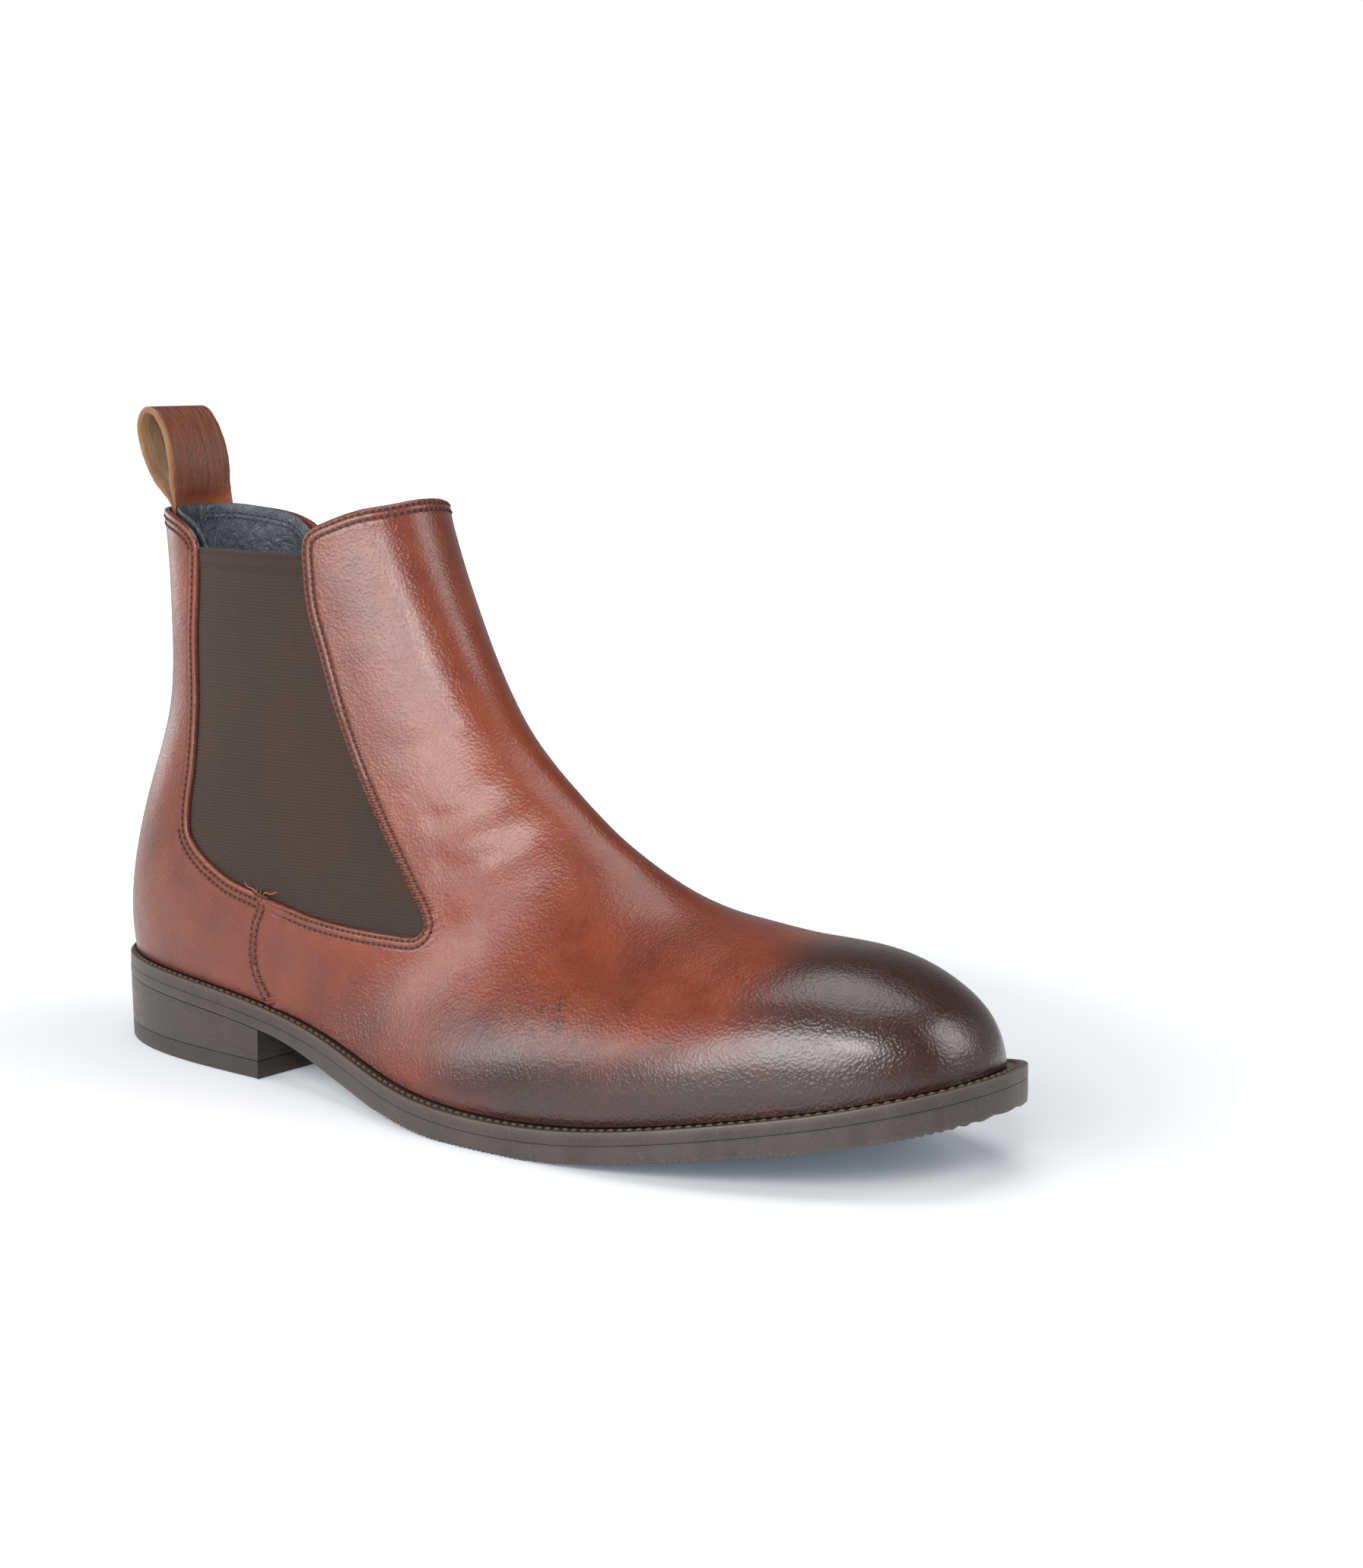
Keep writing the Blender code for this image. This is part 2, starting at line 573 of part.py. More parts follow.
board = FEATHER - OUTWARD * INSOLE_INSET
board_loop = [tuple(p) for p in smooth_closed(board, 96)]
slab("insole_board", [board_loop], lambda x: WELT_TOP(x) + GAP + INSOLE_THICK,
     lambda x: WELT_TOP(x) + GAP, BOARD)
sock_base = GAP + INSOLE_THICK + GAP
sock_loop = [tuple(p) for p in smooth_closed(FEATHER - OUTWARD * (INSOLE_INSET + 0.5), 96)]
slab("sock_liner", [sock_loop], lambda x: WELT_TOP(x) + sock_base + SOCK_THICK,
     lambda x: WELT_TOP(x) + sock_base, LINING)


def thread_ring():
    """The welt stitch: one cord lying on the welt round the boot."""
    n = 110
    path = smooth_closed(FEATHER + OUTWARD * 2.4, n)
    out = plan_normals(path)
    half = 0.35
    lift = 0.5
    rings = []
    for k, (side, up) in enumerate(((-half, 0.0), (0.0, half), (half, 0.0), (0.0, -half))):
        p = path + out * side
        rings.append(np.column_stack([p, WELT_TOP(path[:, 0]) + GAP + lift + up]))
    verts = np.vstack(rings)
    faces = []
    for i in range(n):
        j = (i + 1) % n
        for k in range(4):
            m = (k + 1) % 4
            faces.append((k * n + i, k * n + j, m * n + j, m * n + i))
    return add_object("welt_stitch_cord", verts, faces, THREAD)


thread_ring()

# ---- upper ------------------------------------------------------------------------
SEAM_HALF_GAP = 0.2


def shifted(points, dx, dz=0.0):
    return [(x + dx, z + dz) for x, z in points]


def quarter_loop():
    lift = GAP
    top = resample([(locate(*QUARTER_TOP[0])[0], -HALF_PI)] + pattern(QUARTER_TOP[1:]), 6.0)
    rear = resample(pattern(GORE_BACK), 8.0)
    floor = resample(pattern(GORE_FLOOR_BACK + shifted(SEAM[:1], -SEAM_HALF_GAP)), 7.0)
    t_foot = feather_t_at(SEAM_FOOT_X - SEAM_HALF_GAP, False, lift)
    foot = (t_foot, feather_angle(t_foot, False, lift))
    seam = resample(pattern(shifted(SEAM, -SEAM_HALF_GAP)) + [foot], 7.0)
    t_back = heel_back_t(lift)
    feather = feather_line(t_foot, t_back + 0.02, False, lift)[:-1]
    half = top + rear + floor + seam + feather
    t_foot_in = feather_t_at(SEAM_FOOT_X - SEAM_HALF_GAP, True, lift)
    foot_in = (t_foot_in, feather_angle(t_foot_in, True, lift))
    seam_in = resample(pattern(shifted(SEAM, -SEAM_HALF_GAP)) + [foot_in], 7.0)
    feather_in = feather_line(t_foot_in, t_back + 0.02, True, lift)[:-1]
    other = top + rear + floor + seam_in + feather_in
    return without_repeats(half + [(t_back, -HALF_PI)] + mirror_back(other))


def vamp_loop():
    lift = GAP
    peak = (locate(116.0, VAMP_PEAK_Z)[0], HALF_PI)
    top = resample([peak] + pattern(VAMP_TOP[::-1]), 6.0)
    rear = resample(pattern(VAMP_REAR[::-1] + GORE_TIP[::-1]), 7.0)
    floor = resample(pattern(GORE_FLOOR_FRONT[::-1]), 8.0)
    sides = []
    for medial in (False, True):
        t_foot = feather_t_at(SEAM_FOOT_X + SEAM_HALF_GAP, medial, lift)
        foot = (t_foot, feather_angle(t_foot, medial, lift))
        seam = resample(pattern(shifted(SEAM, SEAM_HALF_GAP)) + [foot], 7.0)
        feather = feather_line(t_foot, T_END - 1.5, medial, lift)
        sides.append(top + rear + floor + seam + feather)
    toe = toe_line(lift)
    return without_repeats(sides[0] + toe + mirror_line(toe) + mirror_line(sides[1]))


def lining_half(medial):
    lift = GAP
    top = resample([(locate(*QUARTER_TOP[0])[0], -HALF_PI + 0.02)] + pattern(QUARTER_TOP[1:5])
                   + pattern([(44.8, 156.2), (47.2, 153.0), (51.0, 150.0)]), 6.0)
    edge = resample(pattern(LINING_BACK), 9.0)
    t_foot = feather_t_at(SEAM_FOOT_X - SEAM_HALF_GAP, medial, lift)
    foot = (t_foot, feather_angle(t_foot, medial, lift))
    seam = resample(pattern([(76.6, 58.0), (76.0, 50.0), (76.0, 40.0), (77.4, 30.0)]) + [foot], 9.0)
    t_back = heel_back_t(lift)
    feather = feather_line(t_foot, t_back + 0.02, medial, lift)[:-1]
    back = [(t_back + 0.05, -HALF_PI + 0.02)]
    spine = [(float(t), -HALF_PI + 0.02) for t in ROWS[::-1] if top[0][0] + 3.0 < t < t_back - 3.0]
    loop = without_repeats(top + edge + seam + feather + back + spine)
    if medial:
        return [(t, -math.pi - a) for t, a in loop]
    return loop


def vamp_lining_loop():
    lift = GAP
    peak = (locate(116.0, VAMP_PEAK_Z - 0.6)[0], HALF_PI)
    top = resample([peak] + pattern([(112.0, 166.4), (105.0, 164.6)] + LINING_FRONT[::-1][0:1]), 7.0)
    edge = resample(pattern(LINING_FRONT[::-1]), 8.0)
    sides = []
    for medial in (False, True):
        t_foot = feather_t_at(SEAM_FOOT_X + SEAM_HALF_GAP, medial, lift)
        foot = (t_foot, feather_angle(t_foot, medial, lift))
        seam = resample(pattern([(77.1, 58.0), (76.5, 50.0), (76.5, 40.0), (77.9, 30.0)]) + [foot], 9.0)
        feather = feather_line(t_foot, T_END - 1.5, medial, lift)
        sides.append(top + edge + seam + feather)
    toe = toe_line(lift)
    return without_repeats(sides[0] + toe + mirror_line(toe) + mirror_line(sides[1]))


def grown(points, reach):
    """Side-view outline moved outward by a fixed reach."""
    p = np.array(points)
    area = 0.5 * float(np.sum(p[:, 0] * np.roll(p[:, 1], -1) - np.roll(p[:, 0], -1) * p[:, 1]))
    tangent = np.roll(p, -1, axis=0) - np.roll(p, 1, axis=0)
    tangent /= np.linalg.norm(tangent, axis=1)[:, None]
    out = np.column_stack([tangent[:, 1], -tangent[:, 0]]) * math.copysign(1.0, area)
    return [tuple(q) for q in p + out * reach]


GORE_HOLE = GORE_BACK + GORE_FLOOR_BACK + GORE_FLOOR_FRONT[1:] + GORE_TIP + VAMP_REAR
GORE_TOP_Z = 152.8


def gore_loop():
    wide = [q for q in grown(GORE_HOLE, GORE_TUCK) if q[1] < GORE_TOP_Z - 5.0]
    start = int(np.argmax([q[1] - 2.0 * (q[0] > 70.0) * 100.0 for q in wide]))
    wide = wide[start:] + wide[:start]
    top = [(x, GORE_TOP_Z) for x in (84.0, 78.0, 68.0, 58.0, 50.0, 41.0)]
    return pattern(wide + top)


def counter_loop():
    lift = COUNTER_LIFT
    top = pattern(COUNTER_TOP[1:])
    start = (locate(COUNTER_TOP[0][0] + 0.3, COUNTER_TOP[0][1])[0], -HALF_PI)
    halves = []
    for medial in (False, True):
        t_foot = feather_t_at(COUNTER_FOOT_X, medial, lift)
        foot = (t_foot, feather_angle(t_foot, medial, lift))
        side = resample([start] + top + [foot], COUNTER_STEP)
        t_back = heel_back_t(lift)
        halves.append(side + feather_line(t_foot, t_back + 0.02, medial, lift)[:-1])
    return without_repeats(halves[0] + [(heel_back_t(lift), -HALF_PI)] + mirror_back(halves[1]))


def puff_loop():
    lift = GAP
    sides = []
    t_top = locate(PUFF_START_X, 56.0)[0]
    for medial in (False, True):
        t_foot = feather_t_at(PUFF_START_X - 4.0, medial, lift)
        foot = (t_foot, feather_angle(t_foot, medial, lift))
        edge = resample([(t_top, HALF_PI), foot], 7.0)
        sides.append(edge + feather_line(t_foot, T_END - 1.5, medial, lift))
    toe = toe_line(lift)
    return without_repeats(sides[0] + toe + mirror_line(toe) + mirror_line(sides[1]))


skin("quarter", quarter_loop(), 0.0, OUTER_THICK, UPPER)
skin("vamp", vamp_loop(), 0.0, OUTER_THICK, UPPER)
gore = gore_loop()
skin("gore_lateral", gore, UNDER_IN, UNDER_OUT, GORE)
skin("gore_medial", [(t, math.pi - a) for t, a in gore], UNDER_IN, UNDER_OUT, GORE)
skin("heel_counter", counter_loop(), UNDER_IN, COUNTER_OUT, STIFF)
skin("toe_puff", puff_loop(), UNDER_IN, UNDER_OUT, STIFF)
skin("quarter_lining_lateral", lining_half(False), LINING_IN, LINING_OUT, LINING)
skin("quarter_lining_medial", lining_half(True), LINING_IN, LINING_OUT, LINING)
skin("vamp_lining", vamp_lining_loop(), LINING_IN, LINING_OUT, LINING)

# ---- pull loop ------------------------------------------------------------------------
tail_top = locate(17.0, 162.4)[0]
tail_low = locate(18.0, TAIL_BOTTOM_Z)[0]
tail_half = 0.44
tail = [(tail_top, a) for a in np.linspace(-HALF_PI - tail_half, -HALF_PI + tail_half, 7)]
tail += [(tail_low, a) for a in np.linspace(-HALF_PI + tail_half, -HALF_PI - tail_half, 7)]
skin("pull_loop_tail", tail, UNDER_IN, UNDER_OUT, SUEDE)


def loop_strap(parent, axis_world):
    """Teardrop strap: a closed band round the finger gap, rounded root at the hinge."""
    p = np.array(LOOP_PROFILE)
    p = smooth_closed(p, 40)
    out = plan_normals(p)
    turn = float(np.sum(p[:, 0] * np.roll(p[:, 1], -1) - np.roll(p[:, 0], -1) * p[:, 1]))
    out *= math.copysign(1.0, turn)
    far = p + out * (LOOP_THICK / 2.0)
    near = p - out * (LOOP_THICK / 2.0)
    n = len(p)
    verts = []
    for ring in (far, near):
        for y in (-LOOP_HALF_WIDTH, LOOP_HALF_WIDTH):
            verts += [(q[0], y, q[1]) for q in ring]
    faces = []
    for i in range(n):
        j = (i + 1) % n
        faces.append((i, j, n + j, n + i))
        faces.append((2 * n + i, 3 * n + i, 3 * n + j, 2 * n + j))
        faces.append((i, 2 * n + i, 2 * n + j, j))
        faces.append((n + i, n + j, 3 * n + j, 3 * n + i))
    return add_object("pull_loop", verts, faces, SUEDE, True, parent, axis_world)


hinge = bpy.data.objects.new("pull_loop_hinge", None)
bpy.context.scene.collection.objects.link(hinge)
hinge_world = (np.array([LOOP_AXIS[0], 0.0, LOOP_AXIS[1]]) - PLACE) * MM
hinge.location = hinge_world
hinge.empty_display_size = 0.01
loop_strap(hinge, hinge_world)
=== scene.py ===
"""Chelsea boot: leather, elastic, stitching and sole edge around the solid parts.

Shapes are worked out in millimetres and written to the meshes in metres.
"""
import bmesh
import bpy
import json
import math
import numpy as np
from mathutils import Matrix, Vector, kdtree, noise
from mathutils.geometry import delaunay_2d_cdt

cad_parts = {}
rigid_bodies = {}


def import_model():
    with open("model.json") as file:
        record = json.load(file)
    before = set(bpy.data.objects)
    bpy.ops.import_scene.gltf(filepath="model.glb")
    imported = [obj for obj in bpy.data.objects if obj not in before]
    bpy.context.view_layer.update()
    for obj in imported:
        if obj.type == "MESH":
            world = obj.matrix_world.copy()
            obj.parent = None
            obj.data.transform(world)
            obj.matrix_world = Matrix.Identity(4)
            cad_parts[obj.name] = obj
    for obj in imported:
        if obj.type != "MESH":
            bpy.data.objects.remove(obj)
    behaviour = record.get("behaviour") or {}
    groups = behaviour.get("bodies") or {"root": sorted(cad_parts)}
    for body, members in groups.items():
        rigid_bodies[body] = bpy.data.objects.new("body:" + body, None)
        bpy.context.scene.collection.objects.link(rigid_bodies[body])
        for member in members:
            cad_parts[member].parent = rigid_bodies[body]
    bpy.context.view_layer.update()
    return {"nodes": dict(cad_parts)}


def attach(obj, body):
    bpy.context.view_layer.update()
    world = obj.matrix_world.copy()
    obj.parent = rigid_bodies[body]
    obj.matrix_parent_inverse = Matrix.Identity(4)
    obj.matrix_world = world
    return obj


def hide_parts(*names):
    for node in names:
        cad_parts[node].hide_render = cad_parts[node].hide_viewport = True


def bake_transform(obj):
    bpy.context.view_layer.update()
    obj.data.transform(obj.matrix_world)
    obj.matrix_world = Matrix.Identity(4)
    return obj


for stock in list(bpy.data.objects):
    bpy.data.objects.remove(stock, do_unlink=True)

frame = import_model()

MM = 0.001
HALF_PI = math.pi / 2.0

# ---- driving dimensions (mm), the same as the solid parts -----------------------
SOLE_EDGE = 8.8              # welt and outsole together at the forepart
SOLE_EDGE_HEEL = 6.9         # welt and outsole together over the heel block
SOLE_EDGE_TOE = 10.3         # welt and outsole together at the toe tip
WELT_THICK = 3.6
HEEL_LENGTH = 81.0           # X of the heel breast
TOP_PIECE = 5.4              # height of the rubber top piece
GAP = 0.35                   # clearance between neighbouring pieces
OUTER_THICK = 1.4            # vamp and quarter leather
UNDER_OUT = 3.2              # depth of the elastic's inner face below the last
LINING_IN = 3.8              # depth of the lining's outer face
LINING_OUT = 4.8             # depth of the lining's inner face
INSOLE_THICK = 2.2
SOCK_THICK = 1.2
COLUMN_SCALE = 34.0          # mm of flat pattern to a radian round the section
LOOP_HALF_WIDTH = 12.0
LOOP_THICK = 2.0
VAMP_ROWS = (1.3, 3.3)       # stitch rows, from the edge of the vamp
QUARTER_ROWS = (1.9, 4.0)    # stitch rows, from the edge of the quarter
LINING_ROWS = (3.0, 4.4)     # stitch rows, from the top of the lining
HEM_ROWS = (1.3, 4.5)        # stitch rows, down from the top of the elastic

# front X, front Z, back X, back Z, front Y, back Y, half width, widest place, two roundnesses
SECTIONS = np.array([
    [111.0, 184.0, 13.0, 180.0, 0.0, 0.0, 28.5, 0.50, 2.10, 2.20],
    [119.0, 160.0, 17.0, 155.0, 0.0, 0.0, 28.5, 0.50, 2.10, 2.20],
    [128.5, 138.0, 18.0, 126.0, 0.0, 0.0, 29.0, 0.46, 2.10, 2.14],
    [137.5, 121.0, 15.0, 100.0, 0.0, 0.0, 29.8, 0.43, 2.10, 2.04],
    [146.0, 108.5, 5.8, 74.0, 0.0, -0.5, 30.8, 0.40, 2.10, 2.08],
    [156.0, 98.0, 0.2, 50.0, 0.0, -1.0, 31.9, 0.37, 2.05, 2.16],
    [167.0, 89.0, -0.5, 29.0, 0.0, -1.0, 32.5, 0.36, 2.00, 2.20],
    [178.5, 80.5, 10.0, 6.0, 0.0, -2.0, 32.5, 0.36, 2.00, 2.20],
    [191.0, 73.0, 48.0, -8.0, 0.0, -5.5, 32.0, 0.36, 2.00, 2.30],
    [204.0, 66.5, 95.0, -8.0, 0.0, -11.0, 34.5, 0.36, 2.00, 2.40],
    [217.5, 61.5, 142.0, -8.0, 0.0, -12.0, 41.5, 0.35, 2.00, 2.40],
    [231.0, 59.0, 180.0, -8.0, 0.0, -6.5, 46.5, 0.35, 2.05, 2.40],
    [244.0, 57.5, 211.0, -7.0, 0.0, -1.5, 48.0, 0.36, 2.10, 2.40],
    [257.0, 57.0, 237.0, -5.0, 0.0, 0.0, 45.0, 0.38, 2.20, 2.40],
    [272.0, 55.5, 260.0, -2.0, 0.0, 0.0, 38.0, 0.40, 2.30, 2.40],
    [286.0, 51.0, 280.0, 3.0, 1.0, 0.5, 30.5, 0.40, 2.30, 2.40],
    [297.0, 44.0, 294.0, 8.0, 2.0, 1.5, 21.5, 0.42, 2.30, 2.40],
    [302.5, 35.0, 302.0, 12.0, 3.0, 2.5, 11.5, 0.45, 2.20, 2.30],
    [304.0, 29.0, 304.0, 15.0, 3.0, 3.0, 0.0, 0.45, 2.00, 2.00],
])
WELT_X = [-5.0, 40.0, 80.0, 115.0, 150.0, 180.0, 210.0, 245.0, 280.0, 315.0]
WELT_Z = [27.0, 25.5, 22.0, 16.0, 10.0, 8.4, 10.0, 15.6, 22.4, 31.0]
REACH_X = [-3.0, 10.0, 35.0, 60.0, 120.0, 180.0, 240.0, 285.0, 312.0]
REACH_W = [0.9, 2.0, 3.1, 3.3, 3.7, 4.6, 4.6, 5.0, 5.6]

# ---- pattern lines on the outer side, seen square from the side (X, Z) -----------
QUARTER_TOP = [(16.9, 163.0), (22.0, 162.9), (29.0, 162.0), (35.0, 161.0), (40.0, 159.6),
               (45.2, 157.0), (47.6, 154.0)]
GORE_BACK = [(48.1, 150.5), (47.0, 138.0), (45.8, 125.0), (46.6, 104.0), (47.0, 88.0),
             (46.0, 76.0), (46.8, 69.0), (50.5, 64.8), (56.0, 61.0)]
GORE_FLOOR_BACK = [(64.0, 57.2), (71.0, 55.2), (77.4, 53.9)]
GORE_FLOOR_FRONT = [(79.0, 53.5), (87.4, 51.6), (96.5, 49.7), (108.0, 48.4), (120.0, 47.8),
                    (131.8, 47.7)]
GORE_TIP = [(136.4, 48.4), (138.3, 51.0), (136.6, 54.2)]
VAMP_REAR = [(131.2, 61.0), (122.6, 73.0), (111.6, 91.2), (104.0, 107.0), (97.4, 124.8),
             (92.9, 137.6), (90.9, 151.4)]
VAMP_TOP = [(90.8, 155.4), (91.7, 158.2), (93.9, 160.2), (97.6, 162.0), (105.9, 165.4),
            (113.0, 167.2)]
VAMP_PEAK_Z = 168.4
SEAM = [(77.8, 50.6), (75.8, 46.0), (74.9, 41.0), (74.8, 36.0), (75.8, 31.0), (79.0, 25.5)]
SEAM_FOOT_X = 82.0
LINING_BACK = [(57.5, 147.5), (59.0, 143.0), (59.0, 120.0), (59.0, 90.0), (60.0, 76.0),
               (64.0, 69.0), (70.0, 66.0), (76.0, 64.0)]
LINING_FRONT = [(80.0, 62.8), (92.0, 60.0), (106.0, 58.2), (116.0, 58.6), (119.5, 61.0),
                (118.0, 65.0), (111.0, 75.0), (101.0, 91.0), (94.0, 107.0), (87.5, 124.0),
                (83.5, 136.0), (82.6, 145.0), (86.0, 149.5), (91.6, 152.5), (93.0, 157.2),
                (97.5, 160.6)]
GORE_TOP_Z = 152.8
GORE_TUCK = 6.5
LOOP_PROFILE = [(20.2, 165.3), (21.3, 168.5), (21.6, 173.0), (20.9, 178.5), (19.4, 183.5),
                (17.0, 188.0), (13.6, 191.5), (10.2, 191.9), (7.9, 189.4), (7.5, 185.8),
                (9.6, 179.4), (13.1, 173.2), (16.9, 168.2)]


# ---- curves and the surface of the last -------------------------------------------
def spline(knots, values):
    """Natural cubic spline through the knots."""
    x = np.asarray(knots, float)
    y = np.asarray(values, float)
    n = len(x)
    h = np.diff(x)
    a = np.zeros((n, n))
    r = np.zeros(y.shape)
    a[0, 0] = 1.0
    a[-1, -1] = 1.0
    for i in range(1, n - 1):
        a[i, i - 1] = h[i - 1]
        a[i, i] = 2.0 * (h[i - 1] + h[i])
        a[i, i + 1] = h[i]
        r[i] = 6.0 * ((y[i + 1] - y[i]) / h[i] - (y[i] - y[i - 1]) / h[i - 1])
    m = np.linalg.solve(a, r)

    def at(t):
        t = np.asarray(t, float)
        i = np.clip(np.searchsorted(x, t) - 1, 0, n - 2)
        d = t - x[i]
        hi = h[i]
        if y.ndim == 2:
            d = d[..., None]
            hi = hi[..., None]
        slope = (y[i + 1] - y[i]) / hi - hi * (2.0 * m[i] + m[i + 1]) / 6.0
        return y[i] + d * (slope + d * (m[i] / 2.0 + d * (m[i + 1] - m[i]) / (6.0 * hi)))
    return at


def section_table():
    """Sections along the last, mirrored past the toe so the toe closes round."""
    front = np.diff(SECTIONS[:, 0:2], axis=0)
    back = np.diff(SECTIONS[:, 2:4], axis=0)
    width = np.diff(SECTIONS[:, 6])
    step = np.sqrt(0.6 * (front ** 2).sum(1) + 0.4 * (back ** 2).sum(1) + width ** 2)
    t = np.concatenate([[0.0], np.cumsum(step)])
    mirror = SECTIONS[-4:-1][::-1].copy()
    mirror[:, 6] *= -1.0
    knots = np.concatenate([t, 2.0 * t[-1] - t[-4:-1][::-1]])
    return t[-1], spline(knots, np.vstack([SECTIONS, mirror]))


T_END, SECTION_AT = section_table()
WELT_TOP = spline(WELT_X, WELT_Z)
REACH = spline(REACH_X, REACH_W)


def surface(t, angle):
    """Outer face of the upper: t runs collar to toe, angle runs round the section."""
    q = SECTION_AT(t)
    s = np.sin(angle)
    c = np.cos(angle)
    n = np.where(s >= 0.0, q[..., 8], q[..., 9])
    widest = q[..., 7]
    reach = np.abs(s) ** (2.0 / n)
    u = np.where(s >= 0.0, widest + (1.0 - widest) * reach, widest - widest * reach)
    v = -np.sign(c) * np.abs(c) ** (2.0 / n) * np.maximum(q[..., 6], 0.0)
    x = q[..., 2] + u * (q[..., 0] - q[..., 2])
    y = v + q[..., 5] + u * (q[..., 4] - q[..., 5])
    z = q[..., 3] + u * (q[..., 1] - q[..., 3])
    return np.stack([x, y, z], -1)


def raw_normal(t, angle):
    along = surface(t + 0.4, angle) - surface(t - 0.4, angle)
    around = surface(t, angle + 0.02) - surface(t, angle - 0.02)
    n = np.cross(along, around)
    return n / np.maximum(np.linalg.norm(n, axis=-1, keepdims=True), 1e-9)


def normal(t, angle):
    """Outward direction; the two sides share one direction along the toe line."""
    t = np.asarray(t, float)
    angle = np.asarray(angle, float)
    inner = np.clip(t, 0.5, T_END - 1.5)
    own = raw_normal(inner, angle)
    other = raw_normal(inner, math.pi - angle)
    w = 0.5 * np.clip((t - (T_END - 2.0)) / 2.0, 0.0, 1.0)[..., None]
    n = own * (1.0 - w) + other * w
    return n / np.linalg.norm(n, axis=-1, keepdims=True)


T_FINE = np.linspace(0.0, T_END, 1601)
Q_FINE = SECTION_AT(T_FINE)


def locate(points):
    """Side-view points (X, Z) to (t, angle) on the outer side of the last."""
    out = []
    fx = Q_FINE[:, 0] - Q_FINE[:, 2]
    fz = Q_FINE[:, 1] - Q_FINE[:, 3]
    length = fx ** 2 + fz ** 2
    for x, z in points:
        side = fx * (z - Q_FINE[:, 3]) - fz * (x - Q_FINE[:, 2])
        u = (fx * (x - Q_FINE[:, 2]) + fz * (z - Q_FINE[:, 3])) / length
        i = np.where((side[:-1] * side[1:] <= 0.0) & (u[:-1] > -0.3) & (u[:-1] < 1.3))[0][0]
        t = T_FINE[i] + side[i] / (side[i] - side[i + 1]) * (T_FINE[i + 1] - T_FINE[i])
        q = SECTION_AT(t)
        d = np.array([q[0] - q[2], q[1] - q[3]])
        u = float(np.clip(((x - q[2]) * d[0] + (z - q[3]) * d[1]) / (d @ d), 0.0, 1.0))
        if u >= q[7]:
            a = math.asin(min(1.0, ((u - q[7]) / (1.0 - q[7])) ** (q[8] / 2.0)))
        else:
            a = -math.asin(min(1.0, ((q[7] - u) / q[7]) ** (q[9] / 2.0)))
        out.append((t, a))
    return np.array(out)


def feather_angle(t, medial, lift):
    """Angle where the section meets the welt's top face."""
    a = np.linspace(-HALF_PI, HALF_PI, 900)
    p = surface(np.full(a.shape, t), math.pi - a if medial else a)
    g = p[:, 2] - WELT_TOP(p[:, 0]) - lift
    cross = np.where((g[:-1] < 0.0) & (g[1:] >= 0.0))[0]
    if len(cross) == 0:
        return None
    i = cross[0]
    return float(a[i] - g[i] / (g[i + 1] - g[i]) * (a[i + 1] - a[i]))


def heel_back_t(lift):
    """Where the back line of the last meets the welt."""
    g = Q_FINE[:, 3] - WELT_TOP(Q_FINE[:, 2]) - lift
    i = np.where((g[:-1] >= 0.0) & (g[1:] < 0.0))[0][0]
    return T_FINE[i] + g[i] / (g[i] - g[i + 1]) * (T_FINE[i + 1] - T_FINE[i])


def feather_line(t_from, t_to, medial, lift=GAP):
    """Dense (t, angle) along the feather line, outer-side angles."""
    low = min(t_from, t_to)
    high = max(t_from, t_to)
    line = []
    for t in low + (high - low) * np.linspace(0.0, 1.0, 260) ** 2:
        a = feather_angle(t, medial, lift)
        if a is not None:
            line.append((float(t), a))
    if t_from > t_to:
        line.reverse()
    return np.array(line)


def feather_t_at(x_goal, medial, lift=GAP):
    """t at which the feather line passes a given X."""
    lo = heel_back_t(lift) + 0.01
    hi = T_END
    for _ in range(40):
        mid = 0.5 * (lo + hi)
        a = feather_angle(mid, medial, lift)
        x = -1e3 if a is None else surface(mid, math.pi - a if medial else a)[0]
        if x < x_goal:
            lo = mid
        else:
            hi = mid
    return 0.5 * (lo + hi)


def blend_step(x, lo, hi):
    s = np.clip((np.asarray(x, float) - lo) / (hi - lo), 0.0, 1.0)
    return s * s * (3.0 - 2.0 * s)


# ---- lines on the surface ------------------------------------------------------------
def curve_through(points, per_span=24, ease_start=False):
    """Centripetal curve through side-view knots; an eased start crowds points at a ridge."""
    p = np.asarray(points, float)
    p = np.vstack([2.0 * p[0] - p[1], p, 2.0 * p[-1] - p[-2]])
    out = []
    spans = len(p) - 3
    for i in range(spans):
        p0, p1, p2, p3 = p[i:i + 4]
        t0 = 0.0
        t1 = t0 + max(np.linalg.norm(p1 - p0), 1e-6) ** 0.5
        t2 = t1 + max(np.linalg.norm(p2 - p1), 1e-6) ** 0.5
        t3 = t2 + max(np.linalg.norm(p3 - p2), 1e-6) ** 0.5
        s = np.linspace(0.0, 1.0, per_span, endpoint=(i == spans - 1))
        if i == 0 and ease_start:
            s = s ** 2
        u = (t1 + s * (t2 - t1))[:, None]
        a1 = (t1 - u) / (t1 - t0) * p0 + (u - t0) / (t1 - t0) * p1
        a2 = (t2 - u) / (t2 - t1) * p1 + (u - t1) / (t2 - t1) * p2
        a3 = (t3 - u) / (t3 - t2) * p2 + (u - t2) / (t3 - t2) * p3
        b1 = (t2 - u) / (t2 - t0) * a1 + (u - t0) / (t2 - t0) * a2
        b2 = (t3 - u) / (t3 - t1) * a2 + (u - t1) / (t3 - t1) * a3
        out.append((t2 - u) / (t2 - t1) * b1 + (u - t1) / (t2 - t1) * b2)
    return np.vstack(out)


